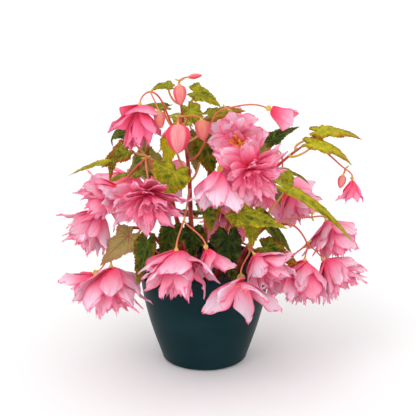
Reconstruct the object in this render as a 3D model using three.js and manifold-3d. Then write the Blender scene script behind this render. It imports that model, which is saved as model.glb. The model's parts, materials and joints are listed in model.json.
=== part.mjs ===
// A begonia of the trailing kind, with double pink flowers, in a plain round pot.
// Millimetres, +Z up. The origin is the middle of the pot's underside, and -Y is the front.
import * as THREE from 'three';
import { mergeVertices } from 'three/addons/utils/BufferGeometryUtils.js';
import Module from 'manifold-3d';

const wasm = await Module();
wasm.setup();
const { Manifold } = wasm;

// ---------------------------------------------------------------- driving dimensions

const DEGREE = Math.PI / 180;

const POT = {
  height: 108,
  footRadius: 44, // where the wall starts, above the rounded foot
  rimRadius: 68.5,
  flatRadius: 38, // the flat that the pot stands on
  footCorner: 4,
  footTurn: [0.75, 0.28], // the middle of the rounded foot, as shares of the way outwards and upwards
  wall: 3,
  floor: 4,
  wallSteps: 4,
  segments: 32,
};

const SOIL = {
  top: 95,
  dome: 4, // how much higher the middle lies than the edge
  lumps: 1.2, // height of the crumbs' unevenness
  waves: [0.31, 0.27], // how fast it goes up and down along X and along Y, in radians a millimetre
  sides: [38, 66], // heights between bottom and top where it follows the pot's wall
  margin: 6.8, // from the pot's wall to the outermost ring of points on top
  rings: 3,
  segments: 16,
};

const GAP = 0.3; // between pieces that rest against each other
const SLIVER = 0.06; // faces narrower than this are merged into their neighbours
const STEM = { buried: 24, steps: 7, sides: 6 };
const STALK = {
  steps: 3,
  sides: 4,
  leafRadius: 1.2,
  flowerRadius: 1,
  taper: 1.4, // how much thicker it is at the stem
  sunk: 2, // how far along the blade it meets the leaf
  reach: 0.33, // how far it keeps its direction at each end, as a share of its length
  onward: 1.2, // how much the first branch keeps the direction in which the fork is reached
  aside: 0.3, // and how much of that the other branches keep
};
const LEAF = { thickness: 0.8, fold: 0.22, cup: -0.16, skew: 0.14 };
const PETAL = {
  thickness: 0.7,
  cup: 0.16,
  core: 1.2, // from the flower's axis to where the petals start
  valley: 2.6, // from the flower's axis to where two petals part
};

// The length and radius of the seed vessel behind a flower, as shares of its petals' length.
const VESSEL = {
  bell: [0.07, 0.04],
  rosette: [0.07, 0.045],
  half: [0.2, 0.13],
  single: [0.24, 0.1],
};

// Half of a leaf's outline, from the stalk to the tip: how far along the midrib, and how far from it as a
// share of the half width. The blade's two lobes reach back past the stalk, and each tooth has a notch.
const LEAF_EDGE = [
  [-0.17, 0.42],
  [0.08, 1],
  [0.2, 0.76],
  [0.38, 0.86],
  [0.5, 0.54],
  [0.7, 0.38],
  [1, 0],
];
const LEAF_MIDRIB = [0, 0.33, 0.66, 1];

// Half of a petal's outline, in the same terms, past the root that it shares with its neighbours: full
// petals have a broad outer half with a pointed tip, and plain and slim ones have fewer points.
const PETAL_SHAPES = {
  full: { edge: [[0.42, 0.84], [0.8, 0.94], [1, 0]], midrib: [0, 0.55, 1] },
  plain: { edge: [[0.62, 1], [1, 0]], midrib: [0, 0.6, 1] },
  slim: { edge: [[0.6, 1], [1, 0]], midrib: [0, 1] },
};

// The layers of a flower, from the outside in: number of petals, and shares of the flower's opening angle,
// of its curl and of its petals' length, then a petal's width as a share of its own length. A layer may
// also say how far round it starts, as a share of the step between its petals.
const { full, plain, slim } = PETAL_SHAPES;
const LAYERS = {
  bell: [
    { count: 5, open: 1, curl: 1, length: 0.9, width: 0.46, shape: full },
    { count: 4, open: 0.62, curl: 0.9, length: 1, width: 0.38, shape: plain },
    { count: 3, open: 0.32, curl: 0.5, length: 0.94, width: 0.3, shape: slim },
  ],
  rosette: [
    { count: 5, open: 1, curl: 1, length: 1, width: 0.56, shape: full },
    { count: 4, open: 0.7, curl: 0.8, length: 0.84, width: 0.54, shape: plain },
    { count: 3, open: 0.36, curl: 0.5, length: 0.62, width: 0.46, shape: slim },
  ],
  single: [{ count: 5, open: 1, curl: 1, length: 1, width: 0.42, shape: full, start: 0.5 }],
  half: [{ count: 4, open: 1, curl: 1, length: 1, width: 0.36, shape: full }],
};
const LAYER_STEP = 1.5; // from one layer's middle to the next, along the flower's axis

// How unevenly the petals stand: their turn as a share of the step between them, their opening angle in
// degrees, and their length as a share of itself.
const UNEVEN = { turn: 0.05, open: 4, length: 0.07 };
const ROOM = 0.43; // a petal's half width at most, as a share of the room halfway to the next one's axis

// A closed bud's profile, from its base to its tip: shares of its half width, and of its length.
const BUD = {
  profile: [[0, 0], [0.8, 0.14], [1, 0.42], [0.74, 0.78], [0, 1]],
  width: 0.3, // half its width, as a share of its length, on a bud that hasn't started to open
  flatness: 0.62,
  segments: 6,
};

const COLOUR = {
  pot: 0x1f3338,
  soil: 0x33261d,
  stem: 0x8c2f27,
  leaf: 0x7d8f33,
  darkLeaf: 0x3f5a28,
  flower: 0xf191b0,
};

// ---------------------------------------------------------------- how the plant is laid out

// Each main stem: the points it passes above the soil, and its radius at the foot and at the tip.
const STEMS = {
  stem_middle: {
    path: [[-9, -2, 92], [-14, -3, 150], [-16, -5, 205], [-21, -6, 250], [-24, -6, 284]],
    radius: [3.4, 1.3],
  },
  stem_left_high: {
    path: [[-22, 4, 92], [-27, 4, 140], [-38, -6, 190], [-54, -16, 222]],
    radius: [3.2, 1.5],
  },
  stem_left_low: {
    path: [[-33, -6, 90], [-42, -12, 124], [-62, -20, 148], [-84, -24, 152]],
    radius: [3, 1.4],
  },
  stem_right_high: {
    path: [[13, 6, 92], [24, 8, 142], [54, 6, 188], [84, 3, 218], [102, 0, 233]],
    radius: [3.4, 1.2],
  },
  stem_right_low: {
    path: [[32, -6, 90], [44, -8, 124], [66, -12, 150], [88, -16, 153]],
    radius: [3, 1.3],
  },
  stem_front: {
    path: [[12, -24, 91], [18, -38, 132], [26, -50, 170], [32, -56, 200]],
    radius: [3, 1.4],
  },
  stem_back_left: {
    path: [[-18, 24, 91], [-30, 44, 140], [-50, 66, 182], [-66, 84, 198]],
    radius: [3.2, 1.4],
  },
  stem_back_right: {
    path: [[20, 26, 91], [34, 46, 142], [56, 68, 186], [74, 84, 202]],
    radius: [3.2, 1.4],
  },
  stem_back_middle: {
    path: [[0, 32, 91], [2, 40, 150], [6, 48, 205], [12, 54, 246]],
    radius: [3.2, 1.3],
  },
};

// Each leaf: the stem it grows on and how far up, where its blade starts, which way the midrib sets off,
// which way its upper side faces, its length and width, and how far it droops towards the tip, in degrees.
const LEAVES = {
  leaf_top_left: {
    on: ['stem_middle', 0.97], at: [-34, -8, 296],
    aim: [-1, -0.1, 0.25], face: [0.2, -0.5, 1],
    size: [26, 15], droop: 75,
  },
  leaf_top_right: {
    on: ['stem_middle', 0.93], at: [-11, 4, 288],
    aim: [1, 0.1, -0.3], face: [0.3, -0.8, 0.7],
    size: [34, 22], droop: 25,
  },
  leaf_upper_left: {
    on: ['stem_middle', 0.8], at: [-40, 8, 272],
    aim: [-1, 0.1, 0.1], face: [0, -0.3, 1],
    size: [38, 18], droop: 35,
  },
  leaf_upper_middle: {
    on: ['stem_middle', 0.86], at: [-16, -18, 276],
    aim: [0.55, -0.25, -0.8], face: [0.3, -0.9, 0.3],
    size: [34, 20], droop: 15,
  },
  leaf_upper_right: {
    on: ['stem_middle', 0.76], at: [4, 6, 264],
    aim: [1, 0, 0.35], face: [-0.2, -0.6, 1],
    size: [40, 22], droop: 30,
  },
  leaf_curled: {
    on: ['stem_left_high', 0.95], at: [-74, 2, 246],
    aim: [-0.9, 0, 0.3], face: [-0.2, -0.6, 0.8],
    size: [42, 20], droop: 125,
  },
  leaf_far_left: {
    on: ['stem_left_high', 1], at: [-78, -16, 232],
    aim: [-1, 0, -0.25], face: [0.1, -0.7, 0.8],
    size: [66, 17], droop: 25,
  },
  leaf_bright: {
    on: ['stem_middle', 0.62], at: [-34, -22, 246],
    aim: [-0.3, -0.2, -1], face: [-0.5, -0.9, 0.1],
    size: [34, 26], droop: 10,
  },
  leaf_broad: {
    on: ['stem_left_high', 0.8], at: [-28, -50, 220],
    aim: [-0.45, -0.3, -0.85], face: [-0.15, -0.9, 0.45],
    size: [38, 42], droop: 25,
  },
  leaf_behind_left: {
    on: ['stem_left_high', 0.69], at: [-62, 8, 222],
    aim: [-0.7, 0.2, -0.5], face: [-0.5, -0.5, 0.8],
    size: [40, 30], droop: 40,
  },
  leaf_middle: {
    on: ['stem_middle', 0.55], at: [0, 6, 236],
    aim: [0.3, 0.2, -0.9], face: [0.2, -1, 0.2],
    size: [46, 30], droop: 20,
  },
  leaf_right_dark: {
    on: ['stem_right_high', 0.72], at: [68, 14, 234],
    aim: [0.8, 0.2, 0.5], face: [-0.3, -0.7, 0.7],
    size: [38, 20], droop: 20,
  },
  leaf_right_high: {
    on: ['stem_right_high', 0.95], at: [116, -2, 249],
    aim: [1, -0.1, 0.1], face: [0, -0.6, 1],
    size: [50, 20], droop: 45,
  },
  leaf_right_arch: {
    on: ['stem_right_high', 0.9], at: [108, -14, 238],
    aim: [1, -0.2, -0.1], face: [0.2, -0.6, 1],
    size: [52, 22], droop: 50,
  },
  leaf_right_small: {
    on: ['stem_right_high', 0.6], at: [84, -8, 206],
    aim: [0.3, -0.3, -0.9], face: [0.4, -0.9, 0.2],
    size: [28, 18], droop: 20,
  },
  leaf_right_long: {
    on: ['stem_right_low', 0.75], at: [80, -40, 198],
    aim: [0.85, -0.18, -0.35], face: [0.5, -0.6, 0.75],
    size: [96, 17], droop: 40,
  },
  leaf_right_inner: {
    on: ['stem_right_low', 0.6], at: [57, -32, 168],
    aim: [0.8, -0.3, -0.7], face: [0.5, -0.7, 0.6],
    size: [54, 22], droop: 15,
  },
  leaf_right_brown: {
    on: ['stem_right_low', 0.45], at: [60, -48, 138],
    aim: [0.9, -0.3, -0.35], face: [0.2, -0.8, 0.6],
    size: [42, 26], droop: 30,
  },
  leaf_front_level: {
    on: ['stem_front', 0.84], at: [31, -80, 184],
    aim: [0.95, -0.2, -0.15], face: [0.1, -0.7, 0.8],
    size: [54, 26], droop: 25,
  },
  leaf_front_olive: {
    on: ['stem_front', 0.75], at: [3, -54, 198],
    aim: [0.05, -0.3, -1], face: [0, -1, 0.2],
    size: [42, 30], droop: 10,
  },
  leaf_front_yellow: {
    on: ['stem_front', 0.62], at: [50, -64, 180],
    aim: [-0.15, -0.25, -1], face: [0.1, -1, 0.1],
    size: [37, 27], droop: 15,
  },
  leaf_front_dark: {
    on: ['stem_front', 0.3], at: [-12, -57, 160],
    aim: [-0.1, 0.05, -1], face: [-0.1, -0.9, 0.4],
    size: [36, 27], droop: 20,
  },
  leaf_front_low: {
    on: ['stem_front', 0.4], at: [24, -60, 155],
    aim: [0.05, -0.3, -1], face: [0, -0.9, 0.3],
    size: [50, 32], droop: 12,
  },
  leaf_left_low: {
    on: ['stem_left_low', 0.8], at: [-75, -38, 149],
    aim: [-0.7, -0.5, -0.5], face: [-0.2, -0.7, 0.7],
    size: [46, 36], droop: 35,
  },
  leaf_left_dark: {
    on: ['stem_left_low', 0.35], at: [-57, -52, 147],
    aim: [-0.2, -0.5, -0.9], face: [-0.2, -0.9, 0.4],
    size: [48, 24], droop: 15,
  },
  leaf_left_front: {
    on: ['stem_left_low', 0.2], at: [-33, -46, 159],
    aim: [-0.3, 0, -1], face: [-0.2, -0.9, 0.4],
    size: [44, 28], droop: 15,
  },
  leaf_back_left: {
    on: ['stem_back_left', 0.62],
    fork: [-53, 50, 180],
    blades: [
      { at: [-66, 40, 192], aim: [-0.9, 0.2, 0.1], face: [-0.3, 0.1, 1], size: [52, 34], droop: 50 },
      { at: [-58, 52, 192], aim: [-0.3, 0.3, 0.9], face: [-0.5, 0.9, 0.2], size: [44, 32], droop: 50 },
      { at: [-62, 44, 176], aim: [-0.6, 0.2, -0.8], face: [-0.8, 0.3, 0.5], size: [44, 32], droop: 20 },
    ],
  },
  leaf_back_middle: {
    on: ['stem_back_middle', 0.8],
    fork: [-6, 60, 226],
    blades: [
      { at: [-14, 64, 244], aim: [-0.6, 0.6, 0.4], face: [-0.2, 0.3, 1], size: [52, 38], droop: 60 },
      { at: [-14, 58, 232], aim: [-0.9, 0.1, -0.1], face: [-0.1, 0.5, 0.9], size: [44, 30], droop: 45 },
      { at: [-6, 68, 228], aim: [-0.1, 0.4, -1], face: [0, 1, 0.4], size: [46, 34], droop: 15 },
    ],
  },
  leaf_back_right: {
    on: ['stem_back_right', 0.62],
    fork: [57, 51, 184],
    blades: [
      { at: [70, 40, 196], aim: [0.9, 0.2, 0.1], face: [0.3, 0.1, 1], size: [52, 34], droop: 50 },
      { at: [60, 52, 196], aim: [0.2, 0.3, 0.9], face: [0.5, 0.9, 0.2], size: [44, 32], droop: 50 },
      { at: [69, 53, 182], aim: [0.5, 0.3, -0.8], face: [0.8, 0.4, 0.5], size: [44, 32], droop: 20 },
    ],
  },
  leaf_back_low: {
    on: ['stem_back_middle', 0.34],
    fork: [-12, 62, 138],
    blades: [
      { at: [-20, 66, 142], aim: [-0.8, 0.6, 0], face: [-0.2, 0.3, 1], size: [46, 36], droop: 50 },
      { at: [-9, 70, 140], aim: [-0.1, 0.9, 0.1], face: [0, 0.2, 1], size: [46, 36], droop: 60 },
    ],
  },
};

// Each spray: the stem it grows on and how far up, where its flower stalks part, and its flowers: the kind,
// where the petals meet, which way the flower faces, its petals' length, its opening angle, and how much
// the petals curl outwards (or inwards, where negative), in degrees. A bud's opening is its extra width
// in percent.
const SPRAYS = {
  spray_top: {
    on: ['stem_middle', 1],
    fork: [-25, -8, 302],
    flowers: [
      { kind: 'bud', at: [-15, -9, 306], face: [1, 0, 0.15], length: 13, open: 0 },
      { kind: 'bud', at: [-25, -17, 299], face: [0.05, -0.15, -1], length: 20, open: 8 },
    ],
  },
  spray_top_left: {
    on: ['stem_middle', 0.82],
    fork: [-54, -15, 292],
    flowers: [
      { kind: 'bell', at: [-65, -19, 279], face: [-0.08, -0.3, -1], length: 44, open: 62, curl: -18 },
      { kind: 'bud', at: [-46, -28, 275], face: [0.15, -0.1, -1], length: 18, open: 0 },
    ],
  },
  spray_upper: {
    on: ['stem_middle', 0.74],
    fork: [-25, -26, 268],
    flowers: [
      { kind: 'bud', at: [-26, -42, 264], face: [0, -0.1, -1], length: 29, open: 35 },
      { kind: 'bud', at: [-32, -32, 257], face: [-0.8, -0.2, -0.5], length: 13, open: 0 },
      { kind: 'bud', at: [-3, -34, 267], face: [0.1, -0.1, -1], length: 21, open: 10 },
    ],
  },
  spray_upper_right: {
    on: ['stem_middle', 0.66],
    fork: [22, -12, 274],
    flowers: [
      { kind: 'rosette', at: [35, -18, 241], face: [-0.15, -0.9, 0.1], length: 34, open: 76, curl: 14 },
      { kind: 'half', at: [68, -8, 272], face: [0.9, -0.2, -0.4], length: 31, open: 30, curl: 4 },
    ],
  },
  spray_centre: {
    on: ['stem_front', 1],
    fork: [30, -56, 227],
    flowers: [
      { kind: 'rosette', at: [43, -62, 225], face: [0.2, -0.85, -0.35], length: 43, open: 74, curl: 8 },
      { kind: 'single', at: [14, -78, 224], face: [-0.2, -0.4, -0.9], length: 44, open: 36, curl: -6 },
    ],
  },
  spray_left: {
    on: ['stem_left_high', 0.88],
    fork: [-58, -34, 228],
    flowers: [
      { kind: 'rosette', at: [-55, -62, 200], face: [-0.05, -0.8, -0.5], length: 46, open: 68, curl: -2 },
      { kind: 'bell', at: [-88, -38, 199], face: [-0.7, -0.3, -0.55], length: 43, open: 58, curl: -8 },
    ],
  },
  spray_far_left: {
    on: ['stem_left_low', 1],
    fork: [-100, -22, 171],
    flowers: [
      { kind: 'bell', at: [-108, -22, 167], face: [-0.55, -0.1, -0.85], length: 46, open: 56, curl: -14 },
    ],
  },
  spray_low_left: {
    on: ['stem_left_low', 0.9],
    fork: [-94, -42, 134],
    flowers: [
      { kind: 'bell', at: [-95, -50, 117], face: [0, -0.25, -1], length: 54, open: 66, curl: -22 },
      { kind: 'single', at: [-114, -48, 109], face: [-0.8, -0.1, -0.5], length: 38, open: 40, curl: -4 },
    ],
  },
  spray_front: {
    on: ['stem_middle', 0.5],
    fork: [-20, -82, 176],
    flowers: [
      { kind: 'bell', at: [-27, -98, 150], face: [0, -0.35, -1], length: 56, open: 72, curl: -26 },
      { kind: 'single', at: [3, -97, 151], face: [0.3, -0.4, -0.87], length: 34, open: 42, curl: -6 },
    ],
  },
  spray_front_right: {
    on: ['stem_front', 0.5],
    fork: [44, -56, 142],
    flowers: [
      { kind: 'single', at: [36, -100, 120], face: [-0.1, -0.7, -0.7], length: 50, open: 58, curl: 2 },
      { kind: 'bell', at: [50, -82, 141], face: [0.6, -0.3, -0.7], length: 44, open: 58, curl: -10 },
    ],
  },
  spray_right: {
    on: ['stem_right_low', 1],
    fork: [106, -26, 136],
    flowers: [
      { kind: 'bell', at: [103, -40, 121], face: [-0.1, -0.3, -0.95], length: 48, open: 58, curl: -20 },
      { kind: 'bell', at: [124, -28, 118], face: [0.6, -0.15, -0.75], length: 46, open: 56, curl: -10 },
      { kind: 'single', at: [87, -46, 117], face: [-0.25, -0.25, -0.95], length: 40, open: 34, curl: -4 },
    ],
  },
  spray_right_upper: {
    on: ['stem_right_low', 0.92],
    fork: [112, -6, 158],
    flowers: [
      { kind: 'bell', at: [128, -4, 153], face: [0.35, -0.3, -0.9], length: 43, open: 62, curl: -20 },
    ],
  },
  spray_behind_right: {
    on: ['stem_right_high', 0.5],
    fork: [80, 18, 197],
    flowers: [
      { kind: 'bell', at: [92, 20, 178], face: [0.5, 0.1, -0.85], length: 32, open: 52, curl: -10 },
      { kind: 'single', at: [70, 30, 176], face: [-0.2, 0.2, -0.9], length: 30, open: 44, curl: -6 },
    ],
  },
  spray_far_right: {
    on: ['stem_right_high', 1],
    fork: [146, -2, 209],
    flowers: [
      { kind: 'single', at: [154, -2, 196], face: [0, -0.1, -1], length: 27, open: 38, curl: -10 },
      { kind: 'bud', at: [144, -3, 202], face: [-0.2, 0, -1], length: 14, open: 0 },
    ],
  },
  bloom_inner: {
    on: ['stem_right_high', 0.27],
    fork: [20, 0, 192],
    flowers: [
      { kind: 'bell', at: [22, -12, 178], face: [0.1, -0.5, -0.8], length: 28, open: 58, curl: -16 },
    ],
  },
  spray_back_left: {
    on: ['stem_back_left', 1],
    fork: [-75, 93, 203],
    flowers: [
      { kind: 'bell', at: [-84, 100, 176], face: [-0.45, 0.45, -0.75], length: 46, open: 62, curl: -20 },
      { kind: 'bell', at: [-48, 106, 182], face: [0.15, 0.7, -0.6], length: 42, open: 60, curl: -14 },
    ],
  },
  spray_back_right: {
    on: ['stem_back_right', 1],
    fork: [82, 93, 207],
    flowers: [
      { kind: 'bell', at: [92, 100, 158], face: [0.45, 0.45, -0.75], length: 44, open: 62, curl: -20 },
      { kind: 'single', at: [58, 106, 166], face: [-0.1, 0.6, -0.7], length: 38, open: 42, curl: -8 },
    ],
  },
  spray_back_middle: {
    on: ['stem_back_middle', 1],
    fork: [16, 72, 250],
    flowers: [
      { kind: 'rosette', at: [26, 82, 236], face: [0.2, 0.75, -0.55], length: 40, open: 66, curl: -4 },
    ],
  },
  spray_back_low: {
    on: ['stem_back_middle', 0.45],
    fork: [14, 92, 154],
    flowers: [
      { kind: 'bell', at: [22, 98, 142], face: [0.1, 0.4, -0.9], length: 48, open: 64, curl: -20 },
    ],
  },
};

// ---------------------------------------------------------------- solids

const vec = ([x, y, z]) => new THREE.Vector3(x, y, z);
const unit = (v) => vec(v).normalize();
const mix = THREE.MathUtils.lerp;

function solidOf(geometry) {
  const bare = geometry.clone();
  bare.deleteAttribute('normal');
  bare.deleteAttribute('uv');
  const merged = mergeVertices(bare, 1e-4);
  return new Manifold(new wasm.Mesh({
    numProp: 3,
    vertProperties: merged.attributes.position.array,
    triVerts: new Uint32Array(merged.index.array),
  }));
}

function geometryOf(solid) {
  const mesh = solid.getMesh();
  const geometry = new THREE.BufferGeometry();
  geometry.setAttribute('position', new THREE.BufferAttribute(mesh.vertProperties, 3));
  geometry.setIndex(new THREE.BufferAttribute(mesh.triVerts, 1));
  geometry.computeVertexNormals();
  return geometry;
}

// One body out of many: hollows that the joining seals are filled, and loose scraps are dropped.
function fuse(solids) {
  const bodies = Manifold.union(solids).asOriginal().simplify(SLIVER).decompose();
  return bodies.sort((a, b) => b.volume() - a.volume())[0];
}

function solidFromFaces(points, faces) {
  const geometry = new THREE.BufferGeometry().setFromPoints(points);
  geometry.setIndex(faces.flat());
  return solidOf(geometry);
}

const counting = (count) => [...Array(count).keys()];
const evenly = (steps, from = 0, to = 1) => counting(steps + 1).map((i) => mix(from, to, i / steps));

// A round rod along a curve, with a ring of points at each station, a share of the curve's length. The
// radius goes evenly from the first to the last.
function rod(curve, radii, stations, sides) {
  const steps = stations.length - 1;
  const upright = Math.abs(curve.getTangentAt(0).z) > 0.9;
  const across = upright ? new THREE.Vector3(1, 0, 0) : new THREE.Vector3(0, 0, 1);
  const points = stations.flatMap((u) => {
    const centre = curve.getPointAt(u);
    const tangent = curve.getTangentAt(u);
    across.addScaledVector(tangent, -across.dot(tangent)).normalize();
    const other = tangent.clone().cross(across);
    return evenly(sides).slice(0, sides).map((share) => centre.clone()
      .addScaledVector(across, mix(...radii, u) * Math.cos(share * 2 * Math.PI))
      .addScaledVector(other, mix(...radii, u) * Math.sin(share * 2 * Math.PI)));
  });
  const faces = [];
  for (let i = 0; i < steps; i += 1) {
    for (let k = 0; k < sides; k += 1) {
      const [a, b] = [i * sides + k, i * sides + ((k + 1) % sides)];
      faces.push([a, b, b + sides], [a, b + sides, a + sides]);
    }
  }
  const last = steps * sides;
  for (let k = 1; k < sides - 1; k += 1) {
    faces.push([0, k + 1, k], [last, last + k, last + k + 1]);
  }
  return solidFromFaces(points, faces);
}

// A blade's own directions: along its midrib, out of its upper side, and to its left.
function bladeFrame(aim, face) {
  const along = aim.clone().normalize();
  const up = face.clone().addScaledVector(along, -face.dot(along)).normalize();
  return { along, up, side: new THREE.Vector3().crossVectors(up, along) };
}

// A point of a blade, s of the way along its midrib and v millimetres to the left of it.
function bladePoint(blade, s, v) {
  const { frame, at, length, bend, fold, cup, half } = blade;
  const turn = bend * Math.max(s, 0);
  const straight = Math.abs(turn) < 1e-3;
  const forward = straight ? s : Math.sin(turn) / bend;
  const down = straight ? 0 : (1 - Math.cos(turn)) / bend;
  const rise = fold * Math.abs(v) + (cup * v * v) / half;
  return at.clone()
    .addScaledVector(frame.along, length * forward + rise * Math.sin(turn))
    .addScaledVector(frame.up, -length * down + rise * Math.cos(turn))
    .addScaledVector(frame.side, v);
}

// Triangles between two rows of points that run the same way, in step with how far along each point is.
function zip(rowA, rowB) {
  const faces = [];
  let [i, j] = [0, 0];
  while (i < rowA.length - 1 || j < rowB.length - 1) {
    const onA = j === rowB.length - 1 || (i < rowA.length - 1 && rowA[i + 1].s <= rowB[j + 1].s);
    faces.push([rowA[i].id, onA ? rowA[i + 1].id : rowB[j + 1].id, rowB[j].id]);
    if (onA) i += 1;
    else j += 1;
  }
  return faces.filter((face) => new Set(face).size === 3);
}

// The points and triangles of a thin sheet: both faces are the same surface, moved half the thickness up
// and down, and a strip closes them all along the border, which has the surface on its left.
function sheetFaces(points, surface, border, thickness) {
  const normals = points.map(() => new THREE.Vector3());
  const triangle = new THREE.Triangle();
  surface.forEach((face) => {
    triangle.setFromPointsAndIndices(points, ...face);
    const normal = triangle.getNormal(new THREE.Vector3()).multiplyScalar(triangle.getArea());
    face.forEach((id) => normals[id].add(normal));
  });
  normals.forEach((normal) => normal.setLength(thickness / 2));

  const count = points.length;
  const top = points.map((point, i) => point.clone().add(normals[i]));
  const bottom = points.map((point, i) => point.clone().sub(normals[i]));
  const faces = surface.flatMap(([a, b, c]) => [[a, b, c], [c + count, b + count, a + count]]);
  border.forEach((a, i) => {
    const b = border[(i + 1) % border.length];
    faces.push([a, a + count, b + count], [a, b + count, b]);
  });
  return { points: [...top, ...bottom], faces };
}

// The rows of points of one blade: its midrib, its left edge and its right edge, each from root to tip.
// The first point of each row is left to the caller where the blade grows out of others.
function bladeRows(blade, edge, midrib, place) {
  const middle = midrib.slice(1).map((s) => place(s, bladePoint(blade, s, 0)));
  const [left, right] = [blade.skew + 1, blade.skew - 1].map((share) => [
    ...edge.slice(0, -1).map(([s, v]) => place(s, bladePoint(blade, s, v * share * blade.half))),
    middle.at(-1),
  ]);
  return { middle, left, right };
}

// A list of points to add to, and the function that adds one.
function pointList() {
  const points = [];
  const place = (s, point) => {
    points.push(point);
    return { s, id: points.length - 1 };
  };
  return { points, place };
}

// ---------------------------------------------------------------- pot and soil

// The wall's outer radius at a height: steep at the rim and drawn in towards the foot.
function potRadius(height) {
  return mix(POT.footRadius, POT.rimRadius, Math.sin((Math.PI / 2) * (height / POT.height)));
}

// The pot is turned from one profile, which goes up outside, over the rim and down inside.
function potSolid() {
  const { height, wall, floor, flatRadius, footCorner, footTurn, wallSteps, segments } = POT;
  const outside = [];
  const inside = [];
  for (let i = 0; i <= wallSteps; i += 1) {
    const up = mix(footCorner, height - wall / 2, i / wallSteps);
    outside.push(new THREE.Vector2(potRadius(up), up));
    const innerUp = mix(floor + footCorner, height - wall / 2, i / wallSteps);
    inside.unshift(new THREE.Vector2(potRadius(innerUp) - wall, innerUp));
  }
  const profile = [
    new THREE.Vector2(0, 0),
    new THREE.Vector2(flatRadius, 0),
    new THREE.Vector2(mix(flatRadius, potRadius(footCorner), footTurn[0]), footCorner * footTurn[1]),
    ...outside,
    new THREE.Vector2(potRadius(height) - wall / 2, height),
    ...inside,
    new THREE.Vector2(flatRadius - wall, floor),
    new THREE.Vector2(0, floor),
  ];
  const geometry = new THREE.LatheGeometry(profile, segments);
  geometry.rotateX(Math.PI / 2); // from about Y, as it is turned, to about Z
  return solidOf(geometry);
}

// The height of the soil's crumbly surface.
function soilHeight(x, y) {
  const share = Math.hypot(x, y) / (potRadius(SOIL.top) - POT.wall);
  const crumbs = SOIL.lumps * Math.sin(x * SOIL.waves[0]) * Math.cos(y * SOIL.waves[1]);
  return SOIL.top + SOIL.dome * (1 - share * share) + crumbs;
}

// The soil fills the pot, with a plain hole for each stem.
function soilSolid(holes) {
  const inner = (up) => potRadius(up) - POT.wall - GAP;
  const bottom = POT.floor + GAP;
  const heights = [POT.floor + POT.footCorner, ...SOIL.sides, SOIL.top];
  const profile = [
    new THREE.Vector2(0, bottom),
    new THREE.Vector2(POT.flatRadius - POT.wall - GAP, bottom),
    ...heights.map((up) => new THREE.Vector2(inner(up) - 2 * GAP, up)),
  ];
  for (let ring = SOIL.rings; ring >= 0; ring -= 1) {
    profile.push(new THREE.Vector2(((inner(SOIL.top) - SOIL.margin) * ring) / SOIL.rings, SOIL.top + 1));
  }
  const geometry = new THREE.LatheGeometry(profile, SOIL.segments);
  geometry.rotateX(Math.PI / 2);
  const spots = geometry.attributes.position;
  for (let i = 0; i < spots.count; i += 1) {
    if (spots.getZ(i) > SOIL.top + 0.5) spots.setZ(i, soilHeight(spots.getX(i), spots.getY(i)));
  }
  return solidOf(geometry).subtract(Manifold.union(holes));
}

// ---------------------------------------------------------------- stems and stalks

// A stem goes straight down into the soil below the first point of its path.
function stemCurve({ path }, extra = 0) {
  const [x, y, z] = path[0];
  const points = [[x, y, z - STEM.buried - extra], ...path].map(vec);
  return new THREE.CatmullRomCurve3(points, false, 'catmullrom', 0.5);
}

function stemSolid(stem, extra = 0) {
  return rod(stemCurve(stem, extra), stem.radius.map((r) => r + extra), evenly(STEM.steps), STEM.sides);
}

// Where a stalk grows from a stem: just clear of its side, or of its tip, and heading for the target. The
// stem's own axis runs straight from one ring of its points to the next.
function budding([name, share], target) {
  const stem = STEMS[name];
  const curve = stemCurve(stem);
  if (share === 1) {
    const heading = curve.getTangentAt(1);
    return { root: curve.getPointAt(1).addScaledVector(heading, GAP), heading };
  }
  const above = mix(STEM.buried / curve.getLength(), 1, share);
  const ring = Math.floor(above * STEM.steps);
  const [low, high] = [ring, ring + 1].map((i) => curve.getPointAt(i / STEM.steps));
  const centre = low.clone().lerp(high, above * STEM.steps - ring);
  const along = high.sub(low).normalize();
  const heading = target.clone().sub(centre);
  heading.addScaledVector(along, -heading.dot(along)).normalize();
  const flat = Math.cos(Math.PI / STEM.sides); // how near the middle of a side lies, beside an edge
  const radius = (mix(...stem.radius, above) * (1 + flat)) / 2;
  return { root: centre.addScaledVector(heading, radius + GAP), heading };
}

// A stalk sets off in one direction and arrives in another.
function stalkCurve(root, heading, end, arrival) {
  const reach = STALK.reach * root.distanceTo(end);
  const first = root.clone().addScaledVector(heading, reach);
  const last = end.clone().addScaledVector(arrival, -reach);
  return new THREE.CubicBezierCurve3(root, first, last, end);
}

// The stalks of a shoot: one runs from the stem through the fork to the first end, and from the fork one
// more goes to each other end. Without a fork there is only the one.
function stalkSolids({ on, fork }, ends, arrivals, radius) {
  const first = fork ? vec(fork) : ends[0];
  const { root, heading } = budding(on, first);
  const radii = [radius * STALK.taper, radius];
  if (!fork) {
    const only = stalkCurve(root, heading, first, arrivals[0]);
    return [rod(only, radii, evenly(STALK.steps + 1), STALK.sides)];
  }
  const up = first.clone().sub(root).setLength(STALK.onward);
  const headings = ends.map((end, i) => {
    return end.clone().sub(first).setLength(1).addScaledVector(up, i ? STALK.aside : 1).normalize();
  });
  const branches = headings.map((start, i) => {
    return stalkCurve(first.clone().addScaledVector(start, i ? -radius : 0), start, ends[i], arrivals[i]);
  });
  const main = new THREE.CurvePath();
  main.add(stalkCurve(root, heading, first, headings[0]));
  main.add(branches[0]);
  const [toFork, whole] = main.getCurveLengths();
  const before = evenly(STALK.steps - 1, 0, toFork / whole);
  const after = evenly(STALK.steps, toFork / whole, 1);
  return [
    rod(main, radii, [...before, ...after.slice(1)], STALK.sides),
    ...branches.slice(1).map((branch) => rod(branch, [radius, radius], evenly(STALK.steps), STALK.sides)),
  ];
}

// ---------------------------------------------------------------- leaves

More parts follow.
